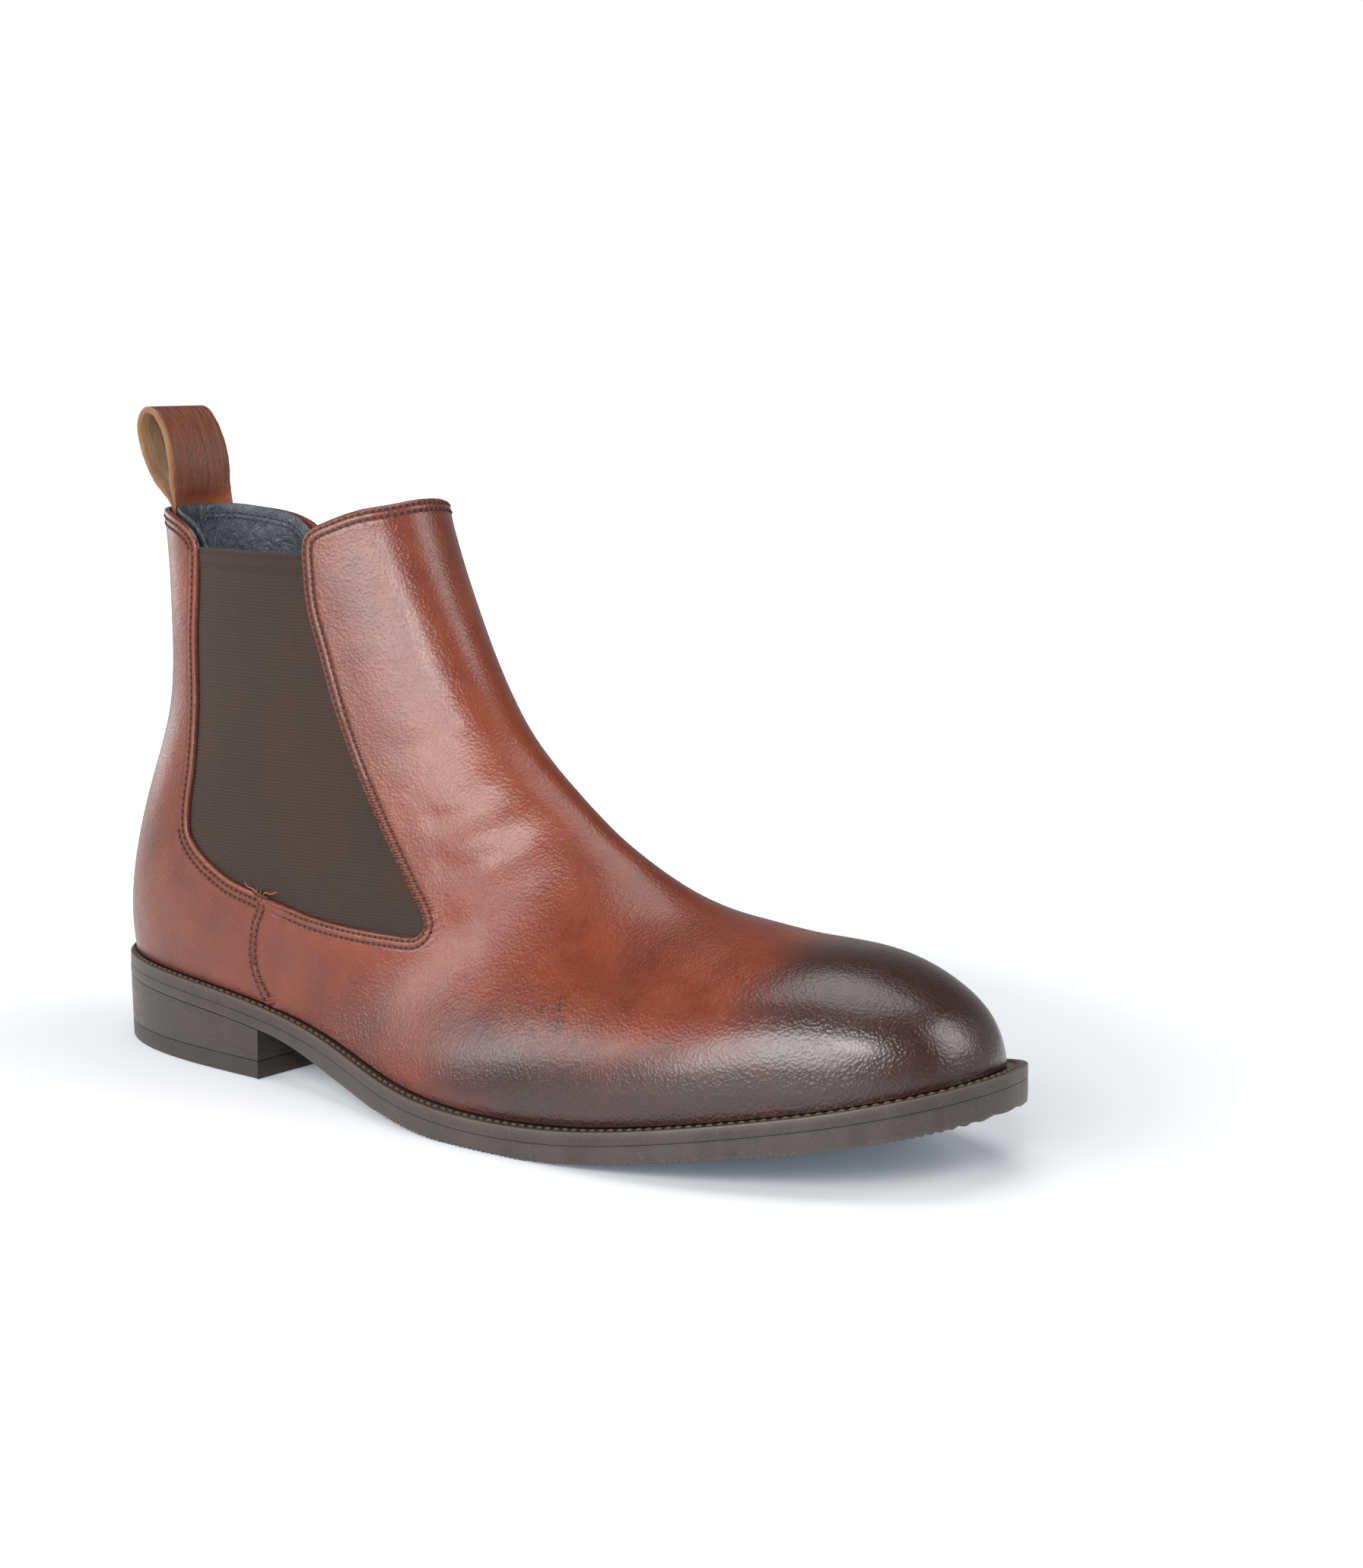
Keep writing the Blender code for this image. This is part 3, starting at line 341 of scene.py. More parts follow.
def even(line, step):
    """Evenly spaced (t, angle) by true length over the surface."""
    p = surface(line[:, 0], line[:, 1])
    d = np.concatenate([[0.0], np.cumsum(np.linalg.norm(np.diff(p, axis=0), axis=1))])
    n = max(1, int(round(d[-1] / step)))
    s = np.linspace(0.0, d[-1], n + 1)
    return np.column_stack([np.interp(s, d, line[:, 0]), np.interp(s, d, line[:, 1])])


def walk(line, step):
    """Move (t, angle) points over the surface by a tangent vector in mm."""
    t = line[:, 0].copy()
    a = line[:, 1].copy()
    goal = surface(t, a) + step
    for _ in range(4):
        jt = (surface(t + 0.3, a) - surface(t - 0.3, a)) / 0.6
        ja = (surface(t, a + 0.01) - surface(t, a - 0.01)) / 0.02
        r = goal - surface(t, a)
        tt = (jt * jt).sum(1)
        ta = (jt * ja).sum(1)
        aa = (ja * ja).sum(1)
        p = (jt * r).sum(1)
        q = (ja * r).sum(1)
        det = np.maximum(tt * aa - ta * ta, 1e-6)
        t = t + np.clip((aa * p - ta * q) / det, -4.0, 4.0)
        a = a + np.clip((tt * q - ta * p) / det, -0.15, 0.15)
    return np.column_stack([t, a])


def frame_along(line):
    """Point, tangent, outward and left directions along a line on the surface."""
    p = surface(line[:, 0], line[:, 1])
    tangent = np.gradient(p, axis=0)
    tangent /= np.maximum(np.linalg.norm(tangent, axis=1, keepdims=True), 1e-9)
    out = normal(line[:, 0], line[:, 1])
    left = np.cross(out, tangent)
    left /= np.maximum(np.linalg.norm(left, axis=1, keepdims=True), 1e-9)
    return p, tangent, out, left


def inset(line, distance, side):
    """The line moved sideways over the surface, in mm."""
    return walk(line, frame_along(line)[3] * distance * side)


def flip(line, turn):
    """The same line on the inner side: turn is pi over the front, -pi over the heel."""
    return np.column_stack([line[:, 0], turn - line[:, 1]])


def ridge(point_line, angle):
    line = point_line.copy()
    line[0, 1] = angle
    return line


# ---- meshes --------------------------------------------------------------------------
def inside(poly, pts):
    """Even-odd test of points against one closed polygon."""
    x = pts[:, 0]
    y = pts[:, 1]
    hit = np.zeros(len(pts), bool)
    for i in range(len(poly)):
        x0, y0 = poly[i - 1]
        x1, y1 = poly[i]
        if y0 == y1:
            continue
        span = (y0 > y) != (y1 > y)
        hit ^= span & (x < (x1 - x0) * (y - y0) / (y1 - y0) + x0)
    return hit


def triangulate(loops, free):
    """Constrained triangles of the first loop minus the others, with free points."""
    pts = [tuple(map(float, p)) for loop in loops for p in loop]
    pts += [tuple(map(float, p)) for p in free]
    edges = []
    start = 0
    for loop in loops:
        n = len(loop)
        edges += [(start + i, start + (i + 1) % n) for i in range(n)]
        start += n
    out = delaunay_2d_cdt(pts, edges, [], 0, 1e-7, False)
    flat = np.array([(v[0], v[1]) for v in out[0]])
    tris = np.array([tuple(f) for f in out[2]])
    mid = flat[tris].mean(axis=1)
    good = inside(loops[0], mid)
    for hole in loops[1:]:
        good &= ~inside(hole, mid)
    return flat, tris[good]


def open_edges(tris):
    seen = {}
    for f in tris:
        for i in range(3):
            a = int(f[i])
            b = int(f[(i + 1) % 3])
            key = (min(a, b), max(a, b))
            seen[key] = None if key in seen else (a, b)
    return [e for e in seen.values() if e is not None]


PLACE = np.zeros(3)


def add_piece(name, verts, faces, mats, replaces=(), body="boot", tone=None, indices=None,
              sharp=50.0):
    """One smooth-shaded piece from millimetre points, riding on a body."""
    world = (np.asarray(verts, float) - PLACE) * MM
    mesh = bpy.data.meshes.new(name)
    mesh.from_pydata(world.tolist(), [], [tuple(int(i) for i in f) for f in faces])
    mesh.validate()
    for m in mats:
        mesh.materials.append(m)
    if indices is not None:
        mesh.polygons.foreach_set("material_index", np.asarray(indices, np.int32))
    if tone is not None:
        layer = mesh.color_attributes.new("tone", "FLOAT_COLOR", "POINT")
        rgba = np.column_stack([tone, np.ones(len(tone))]).astype(np.float32)
        layer.data.foreach_set("color", rgba.ravel())
    mesh.polygons.foreach_set("use_smooth", np.ones(len(mesh.polygons), bool))
    mesh.set_sharp_from_angle(angle=math.radians(sharp))
    ob = bpy.data.objects.new(name, mesh)
    bpy.context.scene.collection.objects.link(ob)
    if body:
        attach(ob, body)
    if replaces:
        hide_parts(*replaces)
    return ob


def distance_to(points, lines):
    """Distance in mm from each point to the nearest of some surface lines."""
    samples = [surface(q[:, 0], q[:, 1]) for q in (even(line, 0.2) for line in lines)]
    samples = np.vstack(samples)
    tree = kdtree.KDTree(len(samples))
    for i, p in enumerate(samples):
        tree.insert(p, i)
    tree.balance()
    return np.array([tree.find(p)[2] for p in points])


def ripple(points, scale, seed=0.0):
    """Smooth noise from -1 to 1 at a point in mm."""
    return np.array([noise.noise(Vector((p[0] / scale + seed, p[1] / scale, p[2] / scale)))
                     for p in points])


def lattice(step):
    """Even points over the whole surface, as (t, angle)."""
    fine = np.linspace(-3.0 * HALF_PI, 3.0 * HALF_PI, 721)
    rows = []
    t = 1.0
    flip_row = 0
    while t < T_END - 0.6:
        p = surface(np.full(fine.shape, t), fine)
        d = np.concatenate([[0.0], np.cumsum(np.linalg.norm(np.diff(p, axis=0), axis=1))])
        d -= np.interp(HALF_PI, fine, d)
        k = np.arange(math.ceil(d[0] / step), math.floor(d[-1] / step)) + 0.5 * flip_row
        a = np.interp(k * step, d, fine)
        rows.append(np.column_stack([np.full(a.shape, t), a]))
        t += step * 0.86
        flip_row = 1 - flip_row
    return np.vstack(rows)


LATTICES = {}
RIM_CLEAR = 0.16             # least room between a finished edge and the points beside it


def skin(name, loop, finished, rings, height, step, mats, depths=(0.0, OUTER_THICK),
         back_height=None, replaces=(), toe=False, tone=None, raw_clear=1.0):
    """A leather or lining piece: closed (t, angle) loop, finished edges with rings of points."""
    if step not in LATTICES:
        LATTICES[step] = lattice(step)
    poly = np.column_stack([loop[:, 0], loop[:, 1] * COLUMN_SCALE])
    free = []
    for line, side in finished:
        base = even(line, 0.95)
        for d in rings:
            free.append(inset(base, d, side))
    lines = [line for line, _ in finished]
    ring_points = np.vstack(free)
    e = distance_to(surface(ring_points[:, 0], ring_points[:, 1]), lines)
    wanted = np.concatenate([np.full(len(even(line, 0.95)), d) for line, _ in finished for d in rings])
    ring_points = ring_points[e > 0.93 * wanted]
    field = LATTICES[step]
    box = (field[:, 0] > loop[:, 0].min()) & (field[:, 0] < loop[:, 0].max())
    box &= (field[:, 1] > loop[:, 1].min()) & (field[:, 1] < loop[:, 1].max())
    field = field[box]
    field = field[distance_to(surface(field[:, 0], field[:, 1]), lines) > rings[-1] + 0.45 * step]
    pts = np.vstack([ring_points, field])
    pts = pts[pts[:, 0] < T_END - 0.5]
    flat = np.column_stack([pts[:, 0], pts[:, 1] * COLUMN_SCALE])
    keep = inside(poly, flat)
    flat = flat[keep]
    pts = pts[keep]
    rim = surface(loop[:, 0], loop[:, 1])
    tree = kdtree.KDTree(len(rim))
    for i, p in enumerate(rim):
        tree.insert(p, i)
    tree.balance()
    near = np.array([tree.find(p)[2] for p in surface(pts[:, 0], pts[:, 1])])
    raw = distance_to(surface(pts[:, 0], pts[:, 1]), lines) > rings[-1]
    clear = np.where(raw, raw_clear, RIM_CLEAR)
    flat = flat[near > clear]
    flat, tris = triangulate([poly], flat)
    t = np.minimum(flat[:, 0], T_END)
    a = flat[:, 1] / COLUMN_SCALE
    n = len(flat)
    base = surface(t, a)
    out = normal(t, a)
    e = distance_to(base, lines)
    h = height(base, t, a, e)
    back = np.zeros(n) if back_height is None else back_height(base, t, a, e)
    front_points = base + out * (h - depths[0])[:, None]
    back_points = base + out * (back - depths[1])[:, None]
    verts = np.vstack([front_points, back_points])
    verts[:, 2] = np.maximum(verts[:, 2], WELT_TOP(verts[:, 0]) + GAP * 0.5)
    a0, a1, a2 = base[tris[:, 0]], base[tris[:, 1]], base[tris[:, 2]]
    facing = (np.cross(a1 - a0, a2 - a0) * out[tris[:, 0]]).sum(1) < 0.0
    tris[facing] = tris[facing][:, ::-1]
    faces = [tuple(f) for f in tris] + [(n + f[2], n + f[1], n + f[0]) for f in tris]
    for i, j in open_edges(tris):
        if toe and t[i] > T_END - 1e-6 and t[j] > T_END - 1e-6:
            continue
        faces.append((j, i, n + i, n + j))
    shade = None
    if tone is not None:
        shade = np.tile(tone(base, t, a, e), (2, 1))
    ob = add_piece(name, verts, faces, mats, replaces, tone=shade)
    if toe:
        weld(ob)
    return ob


def weld(ob):
    """Join points that lie on one another, such as the two sides along the toe line."""
    bm = bmesh.new()
    bm.from_mesh(ob.data)
    bmesh.ops.remove_doubles(bm, verts=bm.verts, dist=2e-6)
    bm.to_mesh(ob.data)
    bm.free()


# ---- stitching ----------------------------------------------------------------------
HOLE_RISE = 0.20
STATIONS = np.array([-1.0, -0.72, 0.0, 0.72, 1.0])
SWELL = np.array([0.45, 0.9, 1.0, 0.9, 0.45])
LIFT = np.array([-0.9, 0.1, 0.5, 0.1, -0.9])


def bars(rows, radius, hole):
    """Thread bars with a dark disc between neighbours, painted shade for the needle hole; rows are
    (points, up directions).
    """
    verts = []
    faces = []
    kinds = []
    sides = 6
    ring = np.linspace(0.0, 2.0 * math.pi, sides, endpoint=False)
    for p, out in rows:
        mid = 0.5 * (p[1:] + p[:-1])
        along = p[1:] - p[:-1]
        length = np.linalg.norm(along, axis=1, keepdims=True)
        along /= length
        up = out[1:] + out[:-1]
        up /= np.linalg.norm(up, axis=1, keepdims=True)
        across = np.cross(up, along)
        for i in range(len(mid)):
            start = len(verts)
            half = 0.37 * length[i, 0]
            for s, swell, rise in zip(STATIONS, SWELL, LIFT):
                centre = mid[i] + along[i] * (s * half) + up[i] * (rise * radius)
                for angle in ring:
                    verts.append(centre + swell * radius * (
                        across[i] * math.cos(angle) * 1.15 + up[i] * math.sin(angle) * 0.85))
            for k in range(len(STATIONS) - 1):
                for j in range(sides):
                    m = (j + 1) % sides
                    b = start + k * sides
                    faces.append((b + j, b + sides + j, b + sides + m, b + m))
                    kinds.append(0)
            last = start + (len(STATIONS) - 1) * sides
            faces.append(tuple(start + j for j in range(sides)))
            faces.append(tuple(last + j for j in reversed(range(sides))))
            kinds += [0, 0]
        tangent = np.gradient(p, axis=0)
        tangent /= np.linalg.norm(tangent, axis=1, keepdims=True)
        left = np.cross(out, tangent)
        for i in range(len(p)):
            start = len(verts)
            for angle in ring:
                verts.append(p[i] + out[i] * HOLE_RISE + hole * (
                    tangent[i] * math.cos(angle) + left[i] * math.sin(angle)))
            verts.append(p[i] + out[i] * (HOLE_RISE + 0.05))
            verts.append(p[i] - out[i] * 0.25)
            for j in range(sides):
                m = (j + 1) % sides
                faces.append((start + j, start + m, start + sides))
                faces.append((start + m, start + j, start + sides + 1))
                kinds += [1, 1]
    return verts, faces, kinds


def stitch_mesh(rows, pitch, radius, height, hole=0.50):
    """Machine stitching along surface lines, lifted off the last by a height in mm."""
    nodes = []
    for row, lift in rows:
        line = even(row, pitch)
        out = normal(line[:, 0], line[:, 1])
        nodes.append((surface(line[:, 0], line[:, 1]) + out * (height + lift), out))
    return bars(nodes, radius, hole)


# ---- materials ------------------------------------------------------------------------
class Nodes:
    """Short helper for wiring one material."""

    def __init__(self, name):
        self.m = bpy.data.materials.new(name)
        self.m.use_nodes = True
        self.tree = self.m.node_tree
        self.shader = self.tree.nodes["Principled BSDF"]

    def put(self, value, socket):
        if isinstance(value, bpy.types.NodeSocket):
            self.tree.links.new(value, socket)
        elif isinstance(value, tuple) and len(value) == 3 and socket.type == "RGBA":
            socket.default_value = (*value, 1.0)
        else:
            socket.default_value = value

    def node(self, kind, inputs=(), **settings):
        n = self.tree.nodes.new(kind)
        for key, value in settings.items():
            setattr(n, key, value)
        for key, value in dict(inputs).items():
            self.put(value, n.inputs[key])
        return n

    def place(self):
        return self.node("ShaderNodeTexCoord").outputs["Object"]

    def scaled(self, size):
        return self.node("ShaderNodeMapping", {"Vector": self.place(), "Scale": size}).outputs[0]

    def noise(self, scale, detail=3.0, rough=0.5, vector=None, distortion=0.0):
        n = self.node("ShaderNodeTexNoise", {"Scale": scale, "Detail": detail, "Roughness": rough,
                                             "Distortion": distortion})
        self.put(self.place() if vector is None else vector, n.inputs["Vector"])
        return n.outputs["Fac"]

    def cells(self, scale, feature="F1", vector=None):
        n = self.node("ShaderNodeTexVoronoi", {"Scale": scale}, feature=feature)
        self.put(self.place() if vector is None else vector, n.inputs["Vector"])
        return n.outputs["Distance"]

    def wave(self, vector, scale, direction, distortion=0.0):
        n = self.node("ShaderNodeTexWave", {"Scale": scale, "Distortion": distortion,
                                            "Detail": 1.0}, wave_profile="SIN",
                      bands_direction=direction)
        self.put(vector, n.inputs["Vector"])
        return n.outputs["Fac"]

    def range(self, value, lo, hi, to_lo=0.0, to_hi=1.0, smooth=False):
        n = self.node("ShaderNodeMapRange", {"Value": value, "From Min": lo, "From Max": hi,
                                             "To Min": to_lo, "To Max": to_hi})
        if smooth:
            n.interpolation_type = "SMOOTHSTEP"
        return n.outputs["Result"]

    def math(self, operation, a, b=0.0):
        n = self.node("ShaderNodeMath", operation=operation)
        self.put(a, n.inputs[0])
        self.put(b, n.inputs[1])
        return n.outputs[0]

    def mix(self, factor, a, b, mode="MIX"):
        n = self.node("ShaderNodeMix", data_type="RGBA", blend_type=mode)
        self.put(factor, n.inputs[0])
        self.put(a, n.inputs[6])
        self.put(b, n.inputs[7])
        return n.outputs[2]

    def bump(self, height, distance, strength=1.0, under=None):
        n = self.node("ShaderNodeBump", {"Height": height, "Distance": distance, "Strength": strength})
        if under is not None:
            self.put(under, n.inputs["Normal"])
        return n.outputs[0]

    def axis(self, which):
        return self.node("ShaderNodeSeparateXYZ", {"Vector": self.place()}).outputs[which]

    def tone(self):
        attribute = self.node("ShaderNodeAttribute", attribute_name="tone")
        return self.node("ShaderNodeSeparateColor", {"Color": attribute.outputs["Color"]}).outputs

    def set(self, **sockets):
        for key, value in sockets.items():
            self.put(value, self.shader.inputs[key.replace("_", " ")])
        return self.m


def upper_leather():
    """Aniline calf, burnished dark by hand at the toe, over a fine pebble grain."""
    n = Nodes("upper_calf")
    burnish, rim, rub = n.tone()
    cloud = n.noise(14.0, 4.0, 0.55)
    fine_cloud = n.noise(70.0, 4.0, 0.6)
    fleck = n.noise(900.0, 3.0, 0.6)
    base = n.mix(n.range(cloud, 0.35, 0.68), (0.180, 0.0300, 0.0100), (0.096, 0.0158, 0.0074))
    base = n.mix(n.range(fine_cloud, 0.38, 0.70, 0.0, 0.45), base, (0.235, 0.052, 0.018))
    base = n.mix(n.range(fleck, 0.52, 0.75, 0.0, 0.30), base, (0.095, 0.016, 0.009))
    ragged = n.math("ADD", burnish, n.range(n.noise(32.0, 4.0, 0.6), 0.3, 0.7, -0.14, 0.14))
    dark = n.range(ragged, 0.08, 0.95, 0.0, 1.0, True)
    base = n.mix(n.math("MULTIPLY", dark, 0.97), base, (0.0145, 0.0075, 0.0075))
    plum = n.range(ragged, 0.05, 0.45, 0.0, 0.55, True)
    base = n.mix(plum, base, n.mix(0.55, base, (0.060, 0.014, 0.012)))
    # rim channel: painted shade in the stitch grooves, and a dark line along the cut edge
    base = n.mix(n.math("MULTIPLY", rim, 0.75), base, (0.045, 0.013, 0.009))
    base = n.mix(n.math("MULTIPLY", rub, 0.55), base, (0.34, 0.105, 0.042))
    crack_zone = n.node("ShaderNodeVectorMath", {0: n.place(), 1: (0.040, -0.043, 0.029)},
                        operation="DISTANCE").outputs["Value"]
    crack_zone = n.range(crack_zone, 0.008, 0.022, 1.0, 0.0, True)
    wander = n.mix(0.012, n.place(), n.node("ShaderNodeTexNoise", {"Scale": 120.0, "Vector": n.place()}
                                           ).outputs["Color"], "LINEAR_LIGHT")
    split = n.range(n.cells(330.0, "DISTANCE_TO_EDGE", wander), 0.0, 0.13, 1.0, 0.0)
    split = n.math("MULTIPLY", split, n.range(n.noise(210.0, 2.0), 0.40, 0.56))
    split = n.math("MULTIPLY", split, crack_zone)
    base = n.mix(n.math("MULTIPLY", split, 0.9), base, (0.012, 0.006, 0.005))
    pebble = n.cells(1150.0)
    pebble_big = n.cells(560.0, "SMOOTH_F1")
    grain = n.math("ADD", n.math("MULTIPLY", pebble, 0.8), n.math("MULTIPLY", pebble_big, 0.5))
    hair = n.wave(n.place(), 120.0, "DIAGONAL", 14.0)
    hair = n.math("MULTIPLY", n.range(hair, 0.86, 1.0), n.range(n.noise(45.0, 3.0), 0.52, 0.70))
    first = n.bump(grain, 0.00024, 0.7)
    second = n.bump(n.math("ADD", hair, n.math("MULTIPLY", split, 2.5)), 0.00010, -0.35, first)
    third = n.bump(n.noise(150.0, 3.0, 0.6), 0.0007, 0.20, second)
    rough = n.range(n.noise(260.0, 3.0, 0.6), 0.3, 0.7, 0.30, 0.42)
    rough = n.math("ADD", rough, n.math("MULTIPLY", rub, 0.10))
    rough = n.math("SUBTRACT", rough, n.math("MULTIPLY", dark, 0.05))
    m = n.set(Base_Color=base, Roughness=rough, Normal=third)
    n.put(n.range(dark, 0.0, 1.0, 0.42, 0.66), n.shader.inputs["Coat Weight"])
    n.shader.inputs["Coat Roughness"].default_value = 0.24
    n.shader.inputs["Specular IOR Level"].default_value = 0.50
    return m


def elastic_webbing():
    """Double-face elastic: weft ribs along its width, fine warp lines down it."""
    n = Nodes("gore_elastic")
    _, rim, rub = n.tone()
    warp = n.wave(n.place(), 520.0, "X", 1.2)
    weft = n.wave(n.place(), 690.0, "Z", 0.6)
    fluff = n.noise(2600.0, 3.0, 0.7)
    cloth = n.mix(n.range(fluff, 0.3, 0.75), (0.023, 0.0140, 0.0105), (0.055, 0.035, 0.027))
    cloth = n.mix(n.range(warp, 0.45, 0.95, 0.0, 0.45), cloth, (0.088, 0.060, 0.047))
    cloth = n.mix(n.range(weft, 0.0, 0.45, 0.5, 0.0), cloth, (0.012, 0.008, 0.006))
    glow = n.range(n.noise(30.0, 3.0, 0.6), 0.42, 0.72, 0.0, 0.35)
    cloth = n.mix(glow, cloth, (0.085, 0.031, 0.020))
    # rim channel: painted shade in the rib valleys and the hem grooves
    cloth = n.mix(n.math("MULTIPLY", rim, 0.8), cloth, (0.012, 0.008, 0.006))
    cloth = n.mix(n.math("MULTIPLY", rub, 0.6), cloth, (0.022, 0.0125, 0.009))
    height = n.math("ADD", n.math("MULTIPLY", warp, 0.7), n.math("MULTIPLY", weft, 0.5))
    height = n.math("ADD", height, n.math("MULTIPLY", fluff, 0.4))
    m = n.set(Base_Color=cloth, Roughness=n.range(fluff, 0.3, 0.7, 0.72, 0.9),
              Normal=n.bump(height, 0.00018, 0.8))
    n.shader.inputs["Sheen Weight"].default_value = 0.25
    n.shader.inputs["Sheen Roughness"].default_value = 0.45
    n.shader.inputs["Sheen Tint"].default_value = (0.45, 0.33, 0.27, 1.0)
    n.shader.inputs["Specular IOR Level"].default_value = 0.35
    return m


def lining_leather():
    """Navy pigskin-grain lining, wrinkled where it was pulled over the last."""
    n = Nodes("lining_navy")
    _, rim, rub = n.tone()
    cloud = n.noise(60.0, 4.0, 0.6)
    base = n.mix(n.range(cloud, 0.3, 0.7), (0.026, 0.034, 0.047), (0.066, 0.078, 0.096))
    base = n.mix(n.range(n.noise(900.0, 3.0), 0.5, 0.75, 0.0, 0.35), base, (0.075, 0.088, 0.105))
    # rim channel: painted shade in the stitch grooves
    base = n.mix(n.math("MULTIPLY", rim, 0.6), base, (0.008, 0.010, 0.015))
    base = n.mix(n.math("MULTIPLY", rub, 0.5), base, (0.085, 0.098, 0.115))
    pits = n.range(n.cells(700.0), 0.0, 0.25, 0.0, 1.0)
    folds = n.noise(210.0, 4.0, 0.62, distortion=1.4)
    first = n.bump(folds, 0.0034, 0.6)
    second = n.bump(pits, 0.00015, 0.5, first)
    m = n.set(Base_Color=base, Roughness=n.range(n.noise(300.0, 3.0), 0.3, 0.7, 0.28, 0.46),
              Normal=second)
    n.shader.inputs["Coat Weight"].default_value = 0.10
    n.shader.inputs["Coat Roughness"].default_value = 0.35
    return m


def strap_leather():
    """Loop strap: waxed grain outside, paler at the foot, with long vertical scratches."""
    n = Nodes("strap_grain")
    _, rim, rub = n.tone()
    streak = n.noise(160.0, 4.0, 0.6, n.scaled((1.0, 6.0, 0.35)))
    base = n.mix(n.range(streak, 0.32, 0.70), (0.088, 0.022, 0.010), (0.190, 0.052, 0.020))
    base = n.mix(n.range(n.noise(900.0, 3.0), 0.5, 0.75, 0.0, 0.35), base, (0.060, 0.018, 0.010))
    base = n.mix(n.math("MULTIPLY", rub, 0.8), base, (0.250, 0.066, 0.018))
    base = n.mix(n.math("MULTIPLY", rim, 0.85), base, (0.200, 0.072, 0.022))
    scratch = n.wave(n.scaled((1.0, 1.0, 0.05)), 420.0, "Y", 5.0)
    base = n.mix(n.math("MULTIPLY", n.range(scratch, 0.93, 1.0), 0.25), base, (0.27, 0.13, 0.08))
    height = n.math("ADD", n.cells(1200.0), n.math("MULTIPLY", streak, 1.5))
    m = n.set(Base_Color=base, Roughness=n.range(streak, 0.3, 0.7, 0.38, 0.52),
              Normal=n.bump(height, 0.00015, 0.5))
    n.shader.inputs["Specular IOR Level"].default_value = 0.5
    return m


def strap_suede():
    """Loop strap's flesh side and cut edges: raw, napped, streaked tan."""
    n = Nodes("strap_flesh")
    worn = n.tone()[1]
    nap = n.noise(1500.0, 5.0, 0.7)
    patch = n.noise(130.0, 4.0, 0.65, n.scaled((1.0, 2.5, 0.5)))
    base = n.mix(n.range(patch, 0.35, 0.66), (0.22, 0.098, 0.034), (0.46, 0.27, 0.120))
    base = n.mix(n.range(nap, 0.48, 0.72, 0.0, 0.6), base, (0.090, 0.034, 0.012))
    base = n.mix(worn, base, (0.165, 0.055, 0.018))
    m = n.set(Base_Color=base, Roughness=n.range(nap, 0.3, 0.7, 0.82, 0.97),
              Normal=n.bump(nap, 0.0006, 0.7))
    n.shader.inputs["Sheen Weight"].default_value = 0.3
    n.shader.inputs["Sheen Roughness"].default_value = 0.5
    return m


def edge_dressed(name, low, high, gloss, streaks):
    """Edge-inked sole layer: satin ink with polish marks, darker where the layers join, painted shade in
    the welt's stitch groove, and pale corners: a painted highlight on the welt's rounded top edge, rubbed
    wear on the lower corners.
    """
    n = Nodes(name)
    _, rim, rub = n.tone()
    marks = n.noise(120.0, 4.0, 0.6, n.scaled((1.0, 1.0, streaks)))
    base = n.mix(n.range(marks, 0.3, 0.7), low, high)
    base = n.mix(n.range(n.noise(1200.0, 2.0), 0.60, 0.78, 0.0, 0.4), base, tuple(3.0 * c for c in high))
    # darker at the joints and in the welt's stitch groove, where the dark is painted shade
    base = n.mix(n.math("MULTIPLY", rim, 0.85), base, (0.006, 0.004, 0.0035))
    # paler: a painted highlight on the welt's rounded top edge, rubbed wear on the lower corners
    base = n.mix(n.math("MULTIPLY", rub, 0.5), base, tuple(3.2 * c for c in high))
    m = n.set(Base_Color=base, Roughness=n.range(marks, 0.3, 0.7, gloss, gloss + 0.14),
              Normal=n.bump(n.noise(420.0, 4.0, 0.6, n.scaled((1.0, 1.0, streaks))), 0.0003, 0.25))
    n.shader.inputs["Coat Weight"].default_value = 0.12
    n.shader.inputs["Coat Roughness"].default_value = 0.24
    return m


def thread(name, low, high):
    n = Nodes(name)
    ply = n.noise(3200.0, 2.0, 0.6)
    base = n.mix(n.range(ply, 0.35, 0.68), low, high)
    return n.set(Base_Color=base, Roughness=n.range(ply, 0.3, 0.7, 0.6, 0.8),
                 Normal=n.bump(ply, 0.0001, 0.6))


def rough_stock(name, low, high, grain, rough, metal=0.0):
    """Plain stock inside the boot: board, cork, celastic, steel."""
    n = Nodes(name)
    speck = n.noise(grain, 4.0, 0.65)
    m = n.set(Base_Color=n.mix(n.range(speck, 0.32, 0.68), low, high),
              Roughness=n.range(speck, 0.3, 0.7, rough, min(1.0, rough + 0.15)),
              Normal=n.bump(speck, 0.0005, 0.5))
    n.shader.inputs["Metallic"].default_value = metal
    return m


UPPER = upper_leather()
ELASTIC = elastic_webbing()
LINING = lining_leather()
STRAP = strap_leather()
FLESH = strap_suede()
WELT_INK = edge_dressed("welt_ink", (0.032, 0.0245, 0.0215), (0.048, 0.038, 0.034), 0.34, 0.3)
SOLE_INK = edge_dressed("outsole_ink", (0.034, 0.026, 0.023), (0.050, 0.040, 0.036), 0.34, 0.25)
HEEL_INK = edge_dressed("heel_ink", (0.030, 0.0225, 0.020), (0.044, 0.035, 0.031), 0.32, 3.0)
TOP_RUBBER = edge_dressed("top_piece_rubber", (0.026, 0.020, 0.018), (0.036, 0.029, 0.026), 0.44, 1.5)
UPPER_THREAD = thread("upper_thread", (0.045, 0.015, 0.009), (0.150, 0.052, 0.028))
